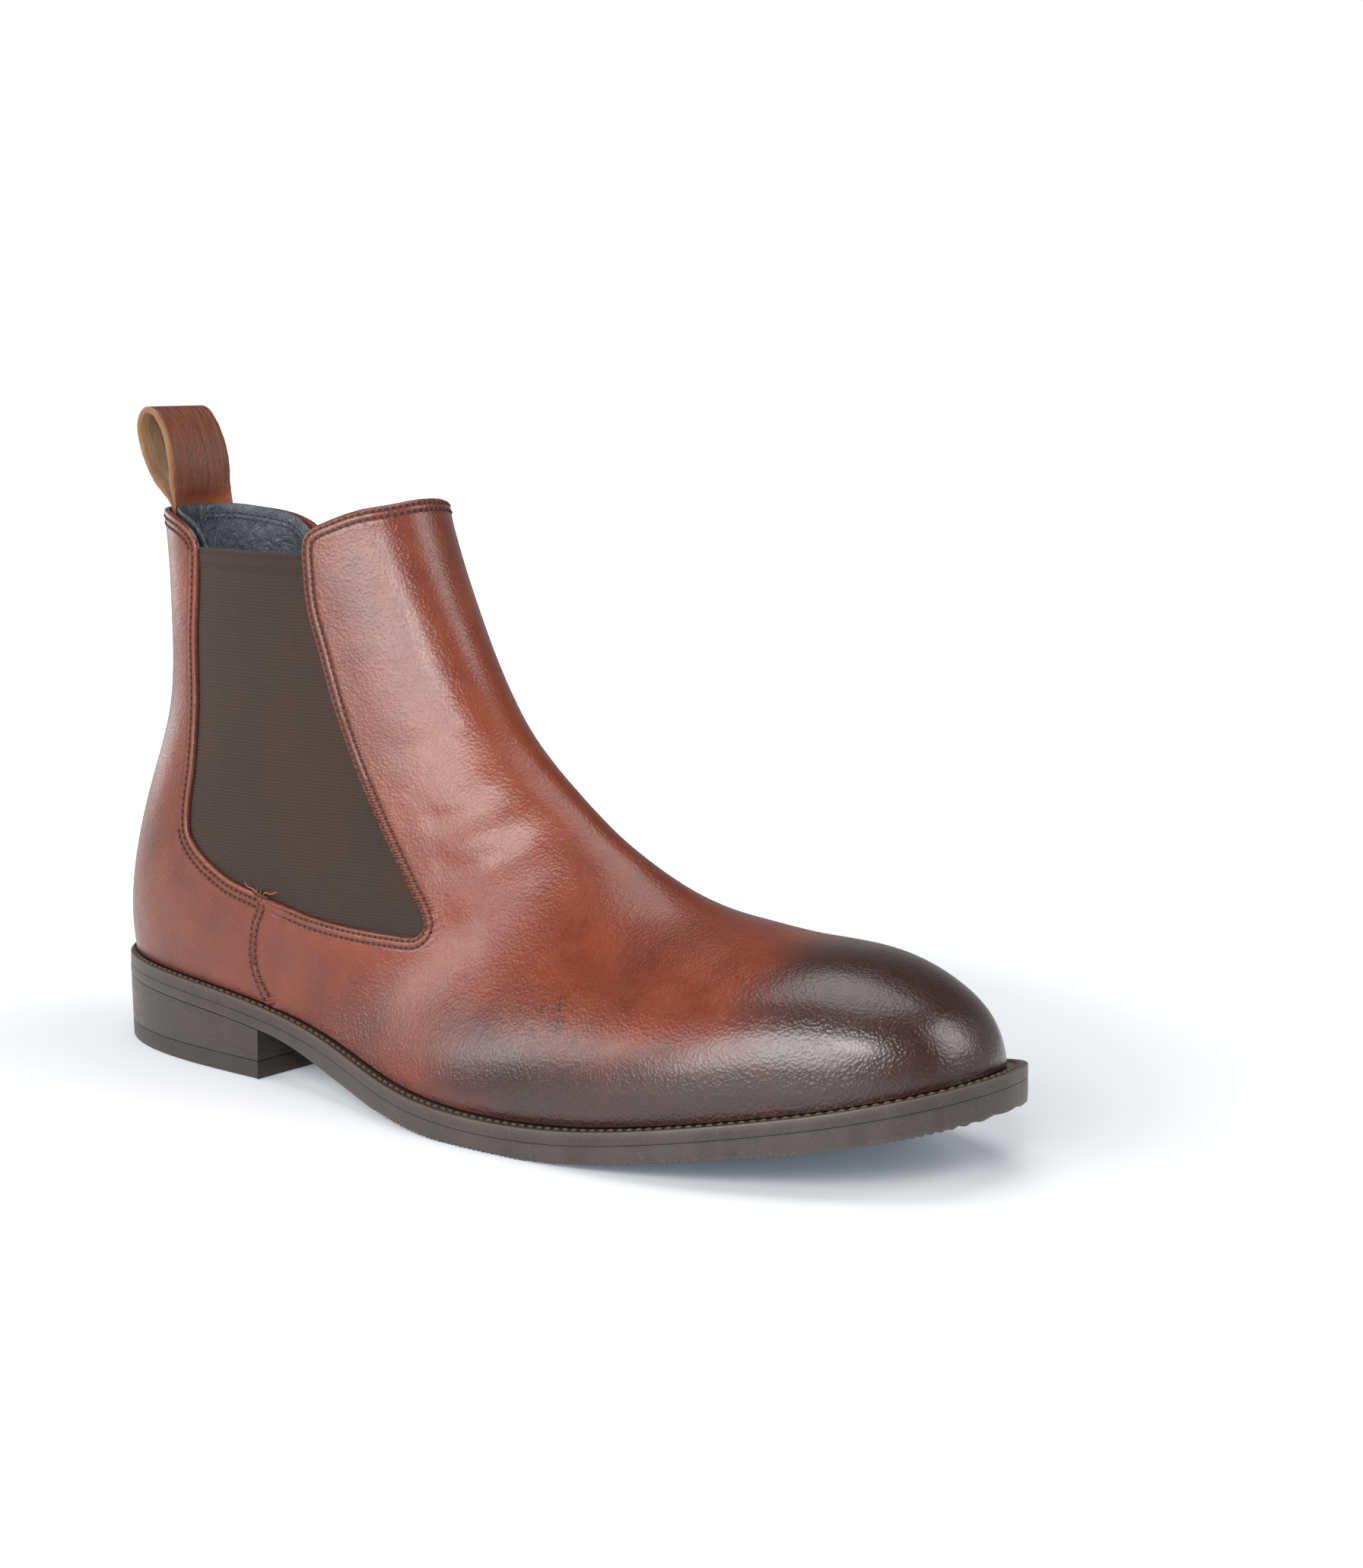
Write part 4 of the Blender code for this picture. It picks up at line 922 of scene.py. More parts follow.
# near-black discs at the needle holes: painted shade
HOLE_SHADE = thread("needle_hole_shade", (0.010, 0.004, 0.003), (0.022, 0.008, 0.006))
WELT_THREAD = thread("welt_thread", (0.030, 0.017, 0.009), (0.135, 0.082, 0.043))
LINING_THREAD = thread("lining_thread", (0.016, 0.022, 0.033), (0.060, 0.075, 0.095))
LOOSE_THREAD = thread("loose_thread", (0.30, 0.085, 0.014), (0.55, 0.19, 0.035))

# ---- sole: plan outlines ------------------------------------------------------------------------
RING_POINTS = 1920


def even_closed(points, count):
    p = np.vstack([points, points[:1]])
    d = np.concatenate([[0.0], np.cumsum(np.linalg.norm(np.diff(p, axis=0), axis=1))])
    s = np.linspace(0.0, d[-1], count, endpoint=False)
    return np.column_stack([np.interp(s, d, p[:, 0]), np.interp(s, d, p[:, 1])])


def feather_plan(count=120):
    """Plan of the upper where it meets the welt, outer side first, heel to toe."""
    start = heel_back_t(0.0) + 0.02
    ts = start + (T_END - start) * (1.0 - np.cos(np.linspace(0.0, math.pi, 260))) / 2.0
    outer = []
    inner = []
    for t in ts:
        a = feather_angle(t, False, 0.0)
        b = feather_angle(t, True, 0.0)
        if a is not None and b is not None:
            outer.append(surface(t, a)[:2])
            inner.append(surface(t, math.pi - b)[:2])
    return even_closed(np.array(outer + inner[::-1]), count)


def plan_normals(p):
    tangent = np.roll(p, -1, axis=0) - np.roll(p, 1, axis=0)
    tangent /= np.linalg.norm(tangent, axis=1)[:, None]
    return np.column_stack([tangent[:, 1], -tangent[:, 0]])


def rounded_closed(p, count):
    """Smooth closed curve through plan points, evenly spaced."""
    n = len(p)
    s = np.linspace(0.0, n, n * 16, endpoint=False)
    i = s.astype(int)
    u = (s - i)[:, None]
    p0, p1, p2, p3 = (p[(i + k) % n] for k in (-1, 0, 1, 2))
    curve = 0.5 * ((2.0 * p1) + (p2 - p0) * u + (2.0 * p0 - 5.0 * p1 + 4.0 * p2 - p3) * u ** 2
                   + (3.0 * p1 - 3.0 * p2 + p3 - p0) * u ** 3)
    return even_closed(curve, count)


COARSE = feather_plan()
SOLE_COARSE = COARSE + plan_normals(COARSE) * REACH(COARSE[:, 0])[:, None]
FEATHER = rounded_closed(COARSE, RING_POINTS)
OUTWARD = plan_normals(FEATHER)
for _ in range(24):
    OUTWARD = OUTWARD + np.roll(OUTWARD, 3, axis=0) + np.roll(OUTWARD, -3, axis=0)
    OUTWARD /= np.linalg.norm(OUTWARD, axis=1)[:, None]
REACH_RING = REACH(FEATHER[:, 0])
TREAD_PITCH = 1.6
TREAD_DEPTH = 0.75


def sole_edge(x):
    forepart = (SOLE_EDGE - SOLE_EDGE_HEEL) * blend_step(x, HEEL_LENGTH + 4.0, 118.0)
    return SOLE_EDGE_HEEL + forepart + (SOLE_EDGE_TOE - SOLE_EDGE) * blend_step(x, 225.0, 305.0)


def outsole_bottom(x):
    return np.maximum(WELT_TOP(x) - sole_edge(x), 0.0)


def tread(x):
    """Fine saw-tooth ribs across the tread of the forepart."""
    phase = (x / TREAD_PITCH) % 1.0
    return TREAD_DEPTH * np.abs(2.0 * phase - 1.0) * blend_step(x, 137.0, 143.0)


def swept(name, rings, caps, mats, replaces, tone, closed_section=False, free_step=9.0,
          cap_height=None):
    """Rings of (plan, z) swept round the boot; caps close the first and last ring."""
    n = len(rings[0][0])
    verts = [np.column_stack([plan, np.broadcast_to(z, (n,))]) for plan, z in rings]
    count = len(verts)
    faces = []
    j = np.arange(n)
    m = (j + 1) % n
    for k in range(count if closed_section else count - 1):
        b = ((k + 1) % count) * n
        a = k * n
        faces += [tuple(f) for f in np.column_stack([a + j, b + j, b + m, a + m])]
    total = n * count
    shades = [np.tile(np.asarray(tone[k], float), (n, 1)) for k in range(count)]
    for which in caps:
        plan, z = rings[which]
        lo = plan.min(axis=0) + 1.0
        hi = plan.max(axis=0) - 1.0
        if cap_height is not None and which == -1:
            xs = np.arange(lo[0], hi[0], TREAD_PITCH / 4.0)
        else:
            xs = np.arange(lo[0], hi[0], free_step)
        free = np.array([(x, y) for x in xs for y in np.arange(lo[1], hi[1], free_step)])
        free = free[inside(plan, free)]
        tree = kdtree.KDTree(n)
        for i, p in enumerate(plan):
            tree.insert((p[0], p[1], 0.0), i)
        tree.balance()
        free = free[np.array([tree.find((p[0], p[1], 0.0))[2] for p in free]) > 0.6]
        flat, tris = triangulate([plan], free)
        level = cap_height[which](flat[:, 0]) if cap_height else np.interp(
            flat[:, 0], *height_curve(plan, z))
        cap = np.column_stack([flat, level])
        a, b, c = (flat[tris[:, i]] for i in range(3))
        ab = b - a
        ac = c - a
        turn = ab[:, 0] * ac[:, 1] - ab[:, 1] * ac[:, 0]
        wrong = turn < 0.0 if which == 0 else turn > 0.0
        tris[wrong] = tris[wrong][:, ::-1]
        faces += [tuple(total + f) for f in tris]
        verts.append(cap)
        shades.append(np.tile(np.asarray(tone[which], float), (len(cap), 1)))
        total += len(cap)
    ob = add_piece(name, np.vstack(verts), faces, mats, replaces, tone=np.vstack(shades),
                   sharp=38.0)
    weld(ob)
    return ob


def height_curve(plan, z):
    order = np.argsort(plan[:, 0])
    return plan[order, 0], np.broadcast_to(z, (len(plan),))[order]


def offset_plan(reach):
    return FEATHER + OUTWARD * np.asarray(reach, float).reshape(-1, 1)


def layer(name, profile, caps, mats, slot, replaces, closed_section=False, cap_height=None):
    """A sole layer: profile rows are (from feather, share of reach, level of X, dark, pale)."""
    rings = []
    tone = []
    for base, share, level, dark, pale in profile:
        plan = offset_plan(base + share * REACH_RING)
        rings.append((plan, level(plan[:, 0])))
        tone.append((0.0, dark, pale))
    return swept(name, rings, caps, mats, replaces, tone, closed_section,
                 cap_height=cap_height)


PLACE[:] = [(SOLE_COARSE[:, 0].min() + SOLE_COARSE[:, 0].max()) / 2.0,
            (SOLE_COARSE[:, 1].min() + SOLE_COARSE[:, 1].max()) / 2.0, 0.0]

# ---- the leather pattern as surface lines ------------------------------------------------
quarter_top = ridge(locate(curve_through(QUARTER_TOP + GORE_BACK[:1], ease_start=True)), -HALF_PI)
gore_back = locate(curve_through(GORE_BACK))
floor_back = locate(curve_through(GORE_BACK[-1:] + GORE_FLOOR_BACK + [(78.0, 53.8)]))
front_ridge_t = locate([(116.0, VAMP_PEAK_Z)])[0][0]
peak = SECTION_AT(front_ridge_t)[:2]
vamp_top = ridge(locate(curve_through([tuple(peak)] + VAMP_TOP[::-1] + VAMP_REAR[::-1][:1],
                                      ease_start=True)), HALF_PI)
vamp_rear = locate(curve_through(VAMP_REAR[::-1] + GORE_TIP[::-1] + GORE_FLOOR_FRONT[::-1][:1]))
floor_front = locate(curve_through(GORE_FLOOR_FRONT[::-1] + [(77.6, 53.9)]))


def seam_line(shift, medial):
    """The side seam from the gore floor to the feather."""
    t_foot = feather_t_at(SEAM_FOOT_X + shift, medial)
    knots = [(x + shift, z) for x, z in [(78.4, 53.7)] + SEAM]
    line = locate(curve_through(knots))
    foot = np.array([[t_foot, feather_angle(t_foot, medial, GAP)]])
    return np.vstack([line[:-1], foot])


def turned(line, medial, turn):
    return flip(line, turn) if medial else line


TOE_LOW = feather_angle(T_END, False, GAP)


def toe_column():
    """The closing line of the toe, feather to top."""
    a = np.linspace(TOE_LOW, HALF_PI, 26)
    return np.column_stack([np.full(a.shape, T_END), a])


def closed_loop(parts):
    """Joined (t, angle) parts with repeated points dropped."""
    line = np.vstack(parts)
    p = np.column_stack([line[:, 0], line[:, 1] * COLUMN_SCALE])
    keep = [0]
    for i in range(1, len(p)):
        if np.abs(p[i] - p[keep[-1]]).sum() > 0.12:
            keep.append(i)
    if np.abs(p[keep[-1]] - p[keep[0]]).sum() < 0.12:
        keep.pop()
    return line[keep]


STEP_EDGE = 0.95
FEATHER_STEP = 2.0

# ---- height of the leather over the last ---------------------------------------------------
BEAD_E = [0.0, 0.22, 0.55, 1.0, 1.3, 1.65, 2.3, 2.95, 3.3, 3.7, 4.8, 8.0]
BEAD_H = [-0.70, -0.16, 0.26, 0.34, 0.02, 0.27, 0.32, 0.25, -0.02, 0.17, 0.10, 0.0]
RINGS = [0.22, 0.55, 1.0, 1.3, 1.65, 2.3, 2.95, 3.3, 3.7, 4.8, 6.2]
CREASES = [
    ([(133.0, 79.0), (146.0, 80.5), (160.0, 86.0)], 0.34, 3.6),
    ([(139.0, 66.0), (150.0, 67.0), (164.0, 74.0), (172.0, 80.0)], 0.46, 4.4),
    ([(141.5, 57.0), (150.0, 50.0), (158.0, 40.0)], 0.26, 4.4),
    ([(120.0, 98.0), (132.0, 101.0), (143.0, 105.0)], 0.16, 3.6),
    ([(216.0, 56.0), (219.0, 46.0), (216.0, 34.0)], 0.12, 3.6),
]


def creases(points):
    """Folds where the ankle bends: a valley with a soft roll beside it, both sides."""
    h = np.zeros(len(points))
    for knots, depth, width in CREASES:
        line = curve_through(knots, 20)
        side = points[:, [0, 2]]
        gap = np.full(len(points), 1e9)
        sign = np.zeros(len(points))
        share = np.zeros(len(points))
        for i in range(len(line) - 1):
            a = line[i]
            ab = line[i + 1] - a
            s = np.clip(((side - a) @ ab) / (ab @ ab), 0.0, 1.0)
            off = side - a - s[:, None] * ab
            d = np.linalg.norm(off, axis=1)
            closer = d < gap
            gap = np.where(closer, d, gap)
            sign = np.where(closer, np.sign(ab[0] * off[:, 1] - ab[1] * off[:, 0]), sign)
            share = np.where(closer, (i + s) / (len(line) - 1), share)
        fade = np.sin(np.clip(share, 0.0, 1.0) * math.pi) ** 0.6
        across = gap * sign
        h -= depth * fade * np.exp(-(across / width) ** 2)
        h += 0.6 * depth * fade * np.exp(-((across - 1.9 * width) / (1.1 * width)) ** 2)
        h += 0.3 * depth * fade * np.exp(-((across + 2.0 * width) / (1.2 * width)) ** 2)
    return h


def ankle_mask(p):
    d = np.sqrt(((p[:, 0] - 142.0) / 26.0) ** 2 + ((p[:, 2] - 76.0) / 30.0) ** 2)
    return np.clip(1.15 - d, 0.0, 1.0)


def soft_relief(p):
    """Slow undulation everywhere, tighter wrinkles at the ankle."""
    wrinkled = np.column_stack([p[:, 0] * 0.6 + p[:, 2] * 0.5, p[:, 1], p[:, 2] * 1.5 - p[:, 0] * 0.5])
    fine = ripple(wrinkled, 5.5, 4.0) * 0.16 * ankle_mask(p)
    under = np.exp(-((p[:, 0] - 104.0) / 24.0) ** 2 - ((p[:, 2] - 43.0) / 5.0) ** 2)
    pleat = ripple(np.column_stack([p[:, 0] * 2.2, p[:, 1], p[:, 2] * 0.6]), 4.5, 6.0) * 0.13 * under
    return ripple(p, 32.0) * 0.22 + ripple(p, 12.0, 9.0) * 0.05 + fine + pleat


def vamp_height(p, t, a, e):
    h = np.interp(e, BEAD_E, BEAD_H)
    quiet = blend_step(e, 2.0, 9.0)
    h = h + (creases(p) + soft_relief(p)) * quiet
    lap = 0.75 * (1.0 - blend_step(p[:, 0], 79.0, 92.0)) * (1.0 - blend_step(p[:, 2], 52.0, 60.0))
    return h + lap


def vamp_back(p, t, a, e):
    h = (creases(p) + soft_relief(p)) * blend_step(e, 2.0, 9.0)
    lap = 1.5 * (1.0 - blend_step(p[:, 0], 77.5, 85.0)) * (1.0 - blend_step(p[:, 2], 52.0, 60.0))
    return h + lap


QUARTER_E = [0.0, 0.2, 0.5, 1.0, 1.5, 1.9, 2.3, 3.0, 3.6, 4.0, 4.4, 6.0, 8.0]
QUARTER_H = [-0.45, -0.10, 0.05, 0.12, 0.10, -0.05, 0.10, 0.12, 0.08, -0.04, 0.05, 0.03, 0.0]
QUARTER_RINGS = [0.2, 0.5, 1.0, 1.5, 1.9, 2.3, 3.0, 3.6, 4.0, 4.4, 5.4]


def quarter_height(p, t, a, e):
    h = np.interp(e, QUARTER_E, QUARTER_H)
    return h + soft_relief(p) * 0.5 * blend_step(e, 2.0, 8.0)


def quarter_back(p, t, a, e):
    return soft_relief(p) * 0.5 * blend_step(e, 2.0, 8.0)


def burnish(p):
    """How dark the hand finish is: toe cap, forepart edge, and along the feather."""
    x, y, z = p.T
    over = z - WELT_TOP(x)
    toe = blend_step(x, 236.0, 277.0)
    edge = (1.0 - blend_step(over, 8.0, 29.0)) * blend_step(x, 150.0, 192.0) * 0.84
    ball = np.exp(-(((x - 186.0) / 30.0) ** 2 + ((over - 9.0) / 15.0) ** 2)) * 0.78
    foot = (1.0 - blend_step(over, 0.5, 6.0)) * 0.45
    heel = (1.0 - blend_step(x, -4.0, 14.0)) * (1.0 - blend_step(over, 10.0, 60.0)) * 0.25
    waist = (1.0 - blend_step(over, 6.0, 52.0)) * (1.0 - blend_step(x, 130.0, 175.0)) * 0.27
    return np.clip(np.maximum.reduce([toe, edge, ball, foot, heel, waist]), 0.0, 1.0)


def upper_tone(rows):
    """Burnish, painted shade in the grooves at the stitch rows with a dark line at the cut edge, and pale
    rub on raised edges.
    """
    def tone(p, t, a, e):
        # painted shade in the stitch grooves, and a dark line along the cut edge
        groove_shade = np.zeros(len(p))
        for d in rows:
            groove_shade = np.maximum(groove_shade, np.exp(-((e - d) / 0.28) ** 2))
        groove_shade = np.maximum(groove_shade * 0.7, (e < 0.12) * 0.9)
        bead = np.exp(-((e - 0.75) / 0.35) ** 2) * (0.45 + 0.35 * ripple(p, 3.0, 2.0))
        return np.column_stack([burnish(p), groove_shade, np.clip(bead, 0.0, 1.0)])
    return tone


# ---- vamp ---------------------------------------------------------------------------------
vamp_sides = []
vamp_finished = []
for medial in (False, True):
    seam = seam_line(-0.8, medial)
    t_foot = seam[-1, 0]
    feather = feather_line(t_foot, T_END - 0.8, medial)
    side = [even(q, STEP_EDGE) for q in (vamp_top, vamp_rear, floor_front, seam)]
    side.append(even(feather, FEATHER_STEP))
    side = [turned(q, medial, math.pi) for q in side]
    vamp_sides.append(side)
    inward = -1.0 if medial else 1.0
    for q in (vamp_top, vamp_rear, floor_front, seam):
        vamp_finished.append((turned(q, medial, math.pi), inward))
toe = toe_column()
vamp_loop = closed_loop(vamp_sides[0] + [toe, flip(toe, math.pi)[::-1]]
                        + [q[::-1] for q in vamp_sides[1][::-1]])
skin("vamp_leather", vamp_loop, vamp_finished, RINGS, vamp_height, 1.9, [UPPER],
     back_height=vamp_back, replaces=["vamp"], toe=True, tone=upper_tone(VAMP_ROWS))

# ---- quarter ------------------------------------------------------------------------------
t_heel = heel_back_t(GAP)
quarter_sides = []
quarter_finished = []
for medial in (False, True):
    seam = seam_line(-0.15, medial)
    feather = feather_line(seam[-1, 0], t_heel + 0.02, medial)
    lines = [quarter_top, gore_back, floor_back]
    side = [even(q, STEP_EDGE) for q in lines] + [even(seam, STEP_EDGE), even(feather, FEATHER_STEP)]
    quarter_sides.append([turned(q, medial, -math.pi) for q in side])
    inward = 1.0 if medial else -1.0
    for q in lines:
        quarter_finished.append((turned(q, medial, -math.pi), inward))
quarter_loop = closed_loop(quarter_sides[0] + [np.array([[t_heel, -HALF_PI]])]
                           + [q[::-1] for q in quarter_sides[1][::-1]])
skin("quarter_leather", quarter_loop, quarter_finished, QUARTER_RINGS, quarter_height, 2.1, [UPPER],
     back_height=quarter_back, replaces=["quarter"],
     tone=upper_tone(QUARTER_ROWS))

# ---- gores --------------------------------------------------------------------------------
RIB_PITCH = 1.0
HEM_DEPTH = 5.6
GORE_COLUMNS = 46


def grown(points, reach):
    """Side-view outline moved outward by a fixed reach."""
    p = np.array(points)
    area = 0.5 * float(np.sum(p[:, 0] * np.roll(p[:, 1], -1) - np.roll(p[:, 0], -1) * p[:, 1]))
    tangent = np.roll(p, -2, axis=0) - np.roll(p, 2, axis=0)
    tangent /= np.linalg.norm(tangent, axis=1)[:, None]
    return p + np.column_stack([tangent[:, 1], -tangent[:, 0]]) * math.copysign(reach, area)


def row_span(outline, z):
    """Lowest and highest X where a level line crosses a closed outline."""
    hits = []
    for i in range(len(outline)):
        (x0, z0), (x1, z1) = outline[i - 1], outline[i]
        if (z0 > z) != (z1 > z):
            hits.append(x0 + (z - z0) / (z1 - z0) * (x1 - x0))
    return min(hits), max(hits)


def gore_grid():
    """Side-view rows across the elastic, three to each rib."""
    hole = curve_through(GORE_BACK + GORE_FLOOR_BACK + GORE_FLOOR_FRONT[1:] + GORE_TIP + VAMP_REAR, 8)
    outline = grown(hole, GORE_TUCK)
    low = outline[:, 1].min() + 0.4
    count = int((GORE_TOP_Z - low) / (RIB_PITCH / 3.0))
    levels = GORE_TOP_Z - np.arange(count) * RIB_PITCH / 3.0
    levels = np.concatenate([[GORE_TOP_Z, GORE_TOP_Z - 0.12], levels[1:]])
    rows = []
    for z in levels:
        lo, hi = row_span(outline, z)
        x = np.linspace(lo, hi, GORE_COLUMNS)
        rows.append(np.column_stack([x, np.full(GORE_COLUMNS, z)]))
    side = np.vstack(rows)
    return side, locate(side), len(levels)


def gore_piece(name, node, medial, grid):
    side, ta, rows = grid
    if medial:
        ta = flip(ta, math.pi)
    x, z = side.T
    below = GORE_TOP_Z - z
    hem = 1.0 - blend_step(below, HEM_DEPTH - 0.35, HEM_DEPTH + 0.25)
    wave = np.cos(2.0 * math.pi * below / RIB_PITCH)
    ribs = 0.20 * wave * (1.0 - 0.8 * hem)
    h = -1.75 + ribs + hem * 0.42
    for line in HEM_ROWS:
        h -= 0.24 * hem * np.exp(-((below - line) / 0.4) ** 2)
    h -= 0.7 * (1.0 - blend_step(below, 0.0, 0.7))
    base = surface(ta[:, 0], ta[:, 1])
    out = normal(ta[:, 0], ta[:, 1])
    h += ripple(base, 16.0, 5.0) * 0.10
    verts = np.vstack([base + out * h[:, None], base - out * (UNDER_OUT - 0.25)])
    n = len(base)
    faces = []
    for r in range(rows - 1):
        for c in range(GORE_COLUMNS - 1):
            a = r * GORE_COLUMNS + c
            quad = (a, a + 1, a + 1 + GORE_COLUMNS, a + GORE_COLUMNS)
            faces.append(quad if medial else quad[::-1])
            faces.append(tuple(n + i for i in (quad[::-1] if medial else quad)))
    ring = list(range(GORE_COLUMNS))
    ring += [r * GORE_COLUMNS + GORE_COLUMNS - 1 for r in range(1, rows)]
    ring += [(rows - 1) * GORE_COLUMNS + c for c in reversed(range(GORE_COLUMNS - 1))]
    ring += [r * GORE_COLUMNS for r in reversed(range(1, rows - 1))]
    for i in range(len(ring)):
        a = ring[i]
        b = ring[(i + 1) % len(ring)]
        wall = (a, b, n + b, n + a)
        faces.append(wall[::-1] if medial else wall)
    # painted shade in the rib valleys, under the hem's lower edge and in the hem stitch grooves
    rim = 0.7 * np.exp(-((below - HEM_DEPTH) / 0.35) ** 2) + 0.30 * (1.0 - wave) * (1.0 - hem)
    for line in HEM_ROWS:
        rim += 0.7 * hem * np.exp(-((below - line) / 0.4) ** 2)
    tone = np.tile(np.column_stack([np.zeros(n), rim, hem]), (2, 1))
    return add_piece(name, verts, faces, [ELASTIC], [node], tone=tone, sharp=70.0)


GORE_GRID = gore_grid()
gore_piece("gore_elastic_lateral", "gore_lateral", False, GORE_GRID)
gore_piece("gore_elastic_medial", "gore_medial", True, GORE_GRID)

# ---- linings ----------------------------------------------------------------------------------
LINING_SPLIT = 0.004
LINING_RINGS = [0.25, 0.7, 1.4, 2.2, 3.0, 3.6, 4.4]


def lining_wrinkles(p):
    high = blend_step(p[:, 2], 118.0, 150.0)
    stretched = np.column_stack([p[:, 0] * 0.7, p[:, 1] * 0.7, p[:, 2] * 1.2])
    return ripple(stretched, 6.0, 3.0) * 0.50 * high + ripple(p, 2.6, 7.0) * 0.17 * high


def lining_back(p, t, a, e):
    edge = np.interp(e, [0.0, 0.25, 0.7, 1.4, 2.2, 3.0, 3.6, 4.4, 6.0],
                     [0.42, 0.14, -0.02, -0.10, -0.12, 0.02, -0.08, 0.02, 0.0])
    return edge + lining_wrinkles(p) * blend_step(e, 3.0, 6.0)


def lining_front(p, t, a, e):
    return np.interp(e, [0.0, 0.25, 0.7], [-0.36, -0.1, 0.0])


def lining_tone(p, t, a, e):
    band = 1.0 - blend_step(e, 4.6, 5.4)
    upper, lower = (np.exp(-((e - d) / 0.3) ** 2) for d in LINING_ROWS)
    # painted shade in the grooves of the two stitch rows
    groove_shade = np.maximum(upper, lower) * 0.6
    return np.column_stack([np.zeros(len(p)), groove_shade, band * 0.35])


lining_top = ridge(locate(curve_through(
    QUARTER_TOP[:5] + [(44.8, 156.2), (47.2, 153.0), (51.0, 150.0)] + LINING_BACK[:1],
    ease_start=True)), -HALF_PI + LINING_SPLIT)
lining_rear = locate(curve_through(LINING_BACK))
lining_seam = [(76.6, 58.0), (76.0, 50.0), (76.0, 40.0), (77.4, 30.0)]


def lining_foot(knots, shift, medial):
    t_foot = feather_t_at(SEAM_FOOT_X + shift, medial)
    foot = np.array([[t_foot, feather_angle(t_foot, medial, GAP)]])
    return np.vstack([locate(curve_through(knots))[:-1], foot])


for medial, node in ((False, "quarter_lining_lateral"), (True, "quarter_lining_medial")):
    seam = lining_foot([LINING_BACK[-1]] + lining_seam, -0.2, medial)
    feather = feather_line(seam[-1, 0], t_heel + 0.02, medial)
    spine_t = np.arange(t_heel - 2.0, lining_top[0, 0] + 2.0, -4.0)
    spine = np.column_stack([spine_t, np.full(spine_t.shape, -HALF_PI + LINING_SPLIT)])
    parts = [even(lining_top, 1.0), even(lining_rear, 1.6), even(seam, 2.5), even(feather, 3.0), spine]
    loop = closed_loop([turned(q, medial, -math.pi) for q in parts])
    if medial:
        loop = loop[::-1]
    inward = 1.0 if medial else -1.0
    skin(node + "_leather", loop, [(turned(lining_top, medial, -math.pi), inward)], LINING_RINGS,
         lining_front, 2.4, [LINING], (LINING_IN, LINING_OUT), lining_back,
         [node], tone=lining_tone)

lining_peak = SECTION_AT(locate([(116.0, VAMP_PEAK_Z - 0.6)])[0][0])[:2]
vamp_lining_top = ridge(locate(curve_through(
    [tuple(lining_peak), (112.0, 166.4), (105.0, 164.6), LINING_FRONT[-1]], ease_start=True)), HALF_PI)
vamp_lining_rear = locate(curve_through(LINING_FRONT[::-1]))
sides = []
finished = []
for medial in (False, True):
    knots = [LINING_FRONT[0], (77.1, 58.0), (76.5, 50.0), (76.5, 40.0), (77.9, 30.0)]
    seam = lining_foot(knots, 0.2, medial)
    feather = feather_line(seam[-1, 0], T_END - 0.8, medial)
    parts = [even(vamp_lining_top, 1.0), even(vamp_lining_rear, 1.6), even(seam, 2.5),
             even(feather, 3.0)]
    sides.append([turned(q, medial, math.pi) for q in parts])
    inward = -1.0 if medial else 1.0
    for q in (vamp_lining_top, vamp_lining_rear):
        finished.append((turned(q, medial, math.pi), inward))
loop = closed_loop(sides[0] + [toe, flip(toe, math.pi)[::-1]] + [q[::-1] for q in sides[1][::-1]])
skin("vamp_lining_leather", loop, finished, LINING_RINGS, lining_front, 2.8, [LINING],
     (LINING_IN, LINING_OUT), lining_back, ["vamp_lining"], toe=True,
     tone=lining_tone)

# ---- seams on the upper -------------------------------------------------------------------------
PITCH = 2.0
THREAD_RADIUS = 0.33
vamp_rows = []
quarter_rows = []
lining_rows = []
vamp_edge = np.vstack([vamp_top, vamp_rear[1:], floor_front[1:]])
for medial in (False, True):
    inward = -1.0 if medial else 1.0
    whole = even(turned(vamp_edge, medial, math.pi), 0.8)
    for d in VAMP_ROWS:
        row = inset(whole, d, inward)
        vamp_rows.append((row[:-2], 0.0))
    seam = even(turned(seam_line(-0.8, medial), medial, math.pi), 0.8)
    for d in VAMP_ROWS:
        row = inset(seam, d, inward)
        vamp_rows.append((row[3:-1], 0.72))
    quarter_edge = even(turned(quarter_top, medial, -math.pi), 0.8)
    for d in QUARTER_ROWS:
        row = inset(quarter_edge, d, -inward)
        quarter_rows.append((row[:-4] if d == QUARTER_ROWS[1] else row[:-2], 0.0))
    back_edge = even(turned(gore_back, medial, -math.pi), 0.8)
    quarter_rows.append((inset(back_edge, QUARTER_ROWS[0], -inward)[1:], 0.0))
    floor_edge = even(turned(np.vstack([gore_back[-60:], floor_back[1:]]), medial, -math.pi), 0.8)
    quarter_rows.append((inset(floor_edge, QUARTER_ROWS[1], -inward)[3:-2], 0.0))
    floor_edge = even(turned(floor_back, medial, -math.pi), 0.8)
    quarter_rows.append((inset(floor_edge, QUARTER_ROWS[0], -inward)[1:-2], 0.0))
    lining_edge = even(turned(lining_top, medial, -math.pi), 0.8)
    for d in LINING_ROWS:
        lining_rows.append((inset(lining_edge, d, -inward)[4:-3], 0.0))
verts, faces, kinds = stitch_mesh(vamp_rows, PITCH, THREAD_RADIUS, 0.14)
add_piece("vamp_stitching", verts, faces, [UPPER_THREAD, HOLE_SHADE], indices=kinds)
verts, faces, kinds = stitch_mesh(quarter_rows, PITCH, THREAD_RADIUS * 0.9, 0.08)
add_piece("quarter_stitching", verts, faces, [UPPER_THREAD, HOLE_SHADE], indices=kinds)
verts, faces, kinds = stitch_mesh(lining_rows, 2.3, 0.30, -LINING_OUT - 0.02)
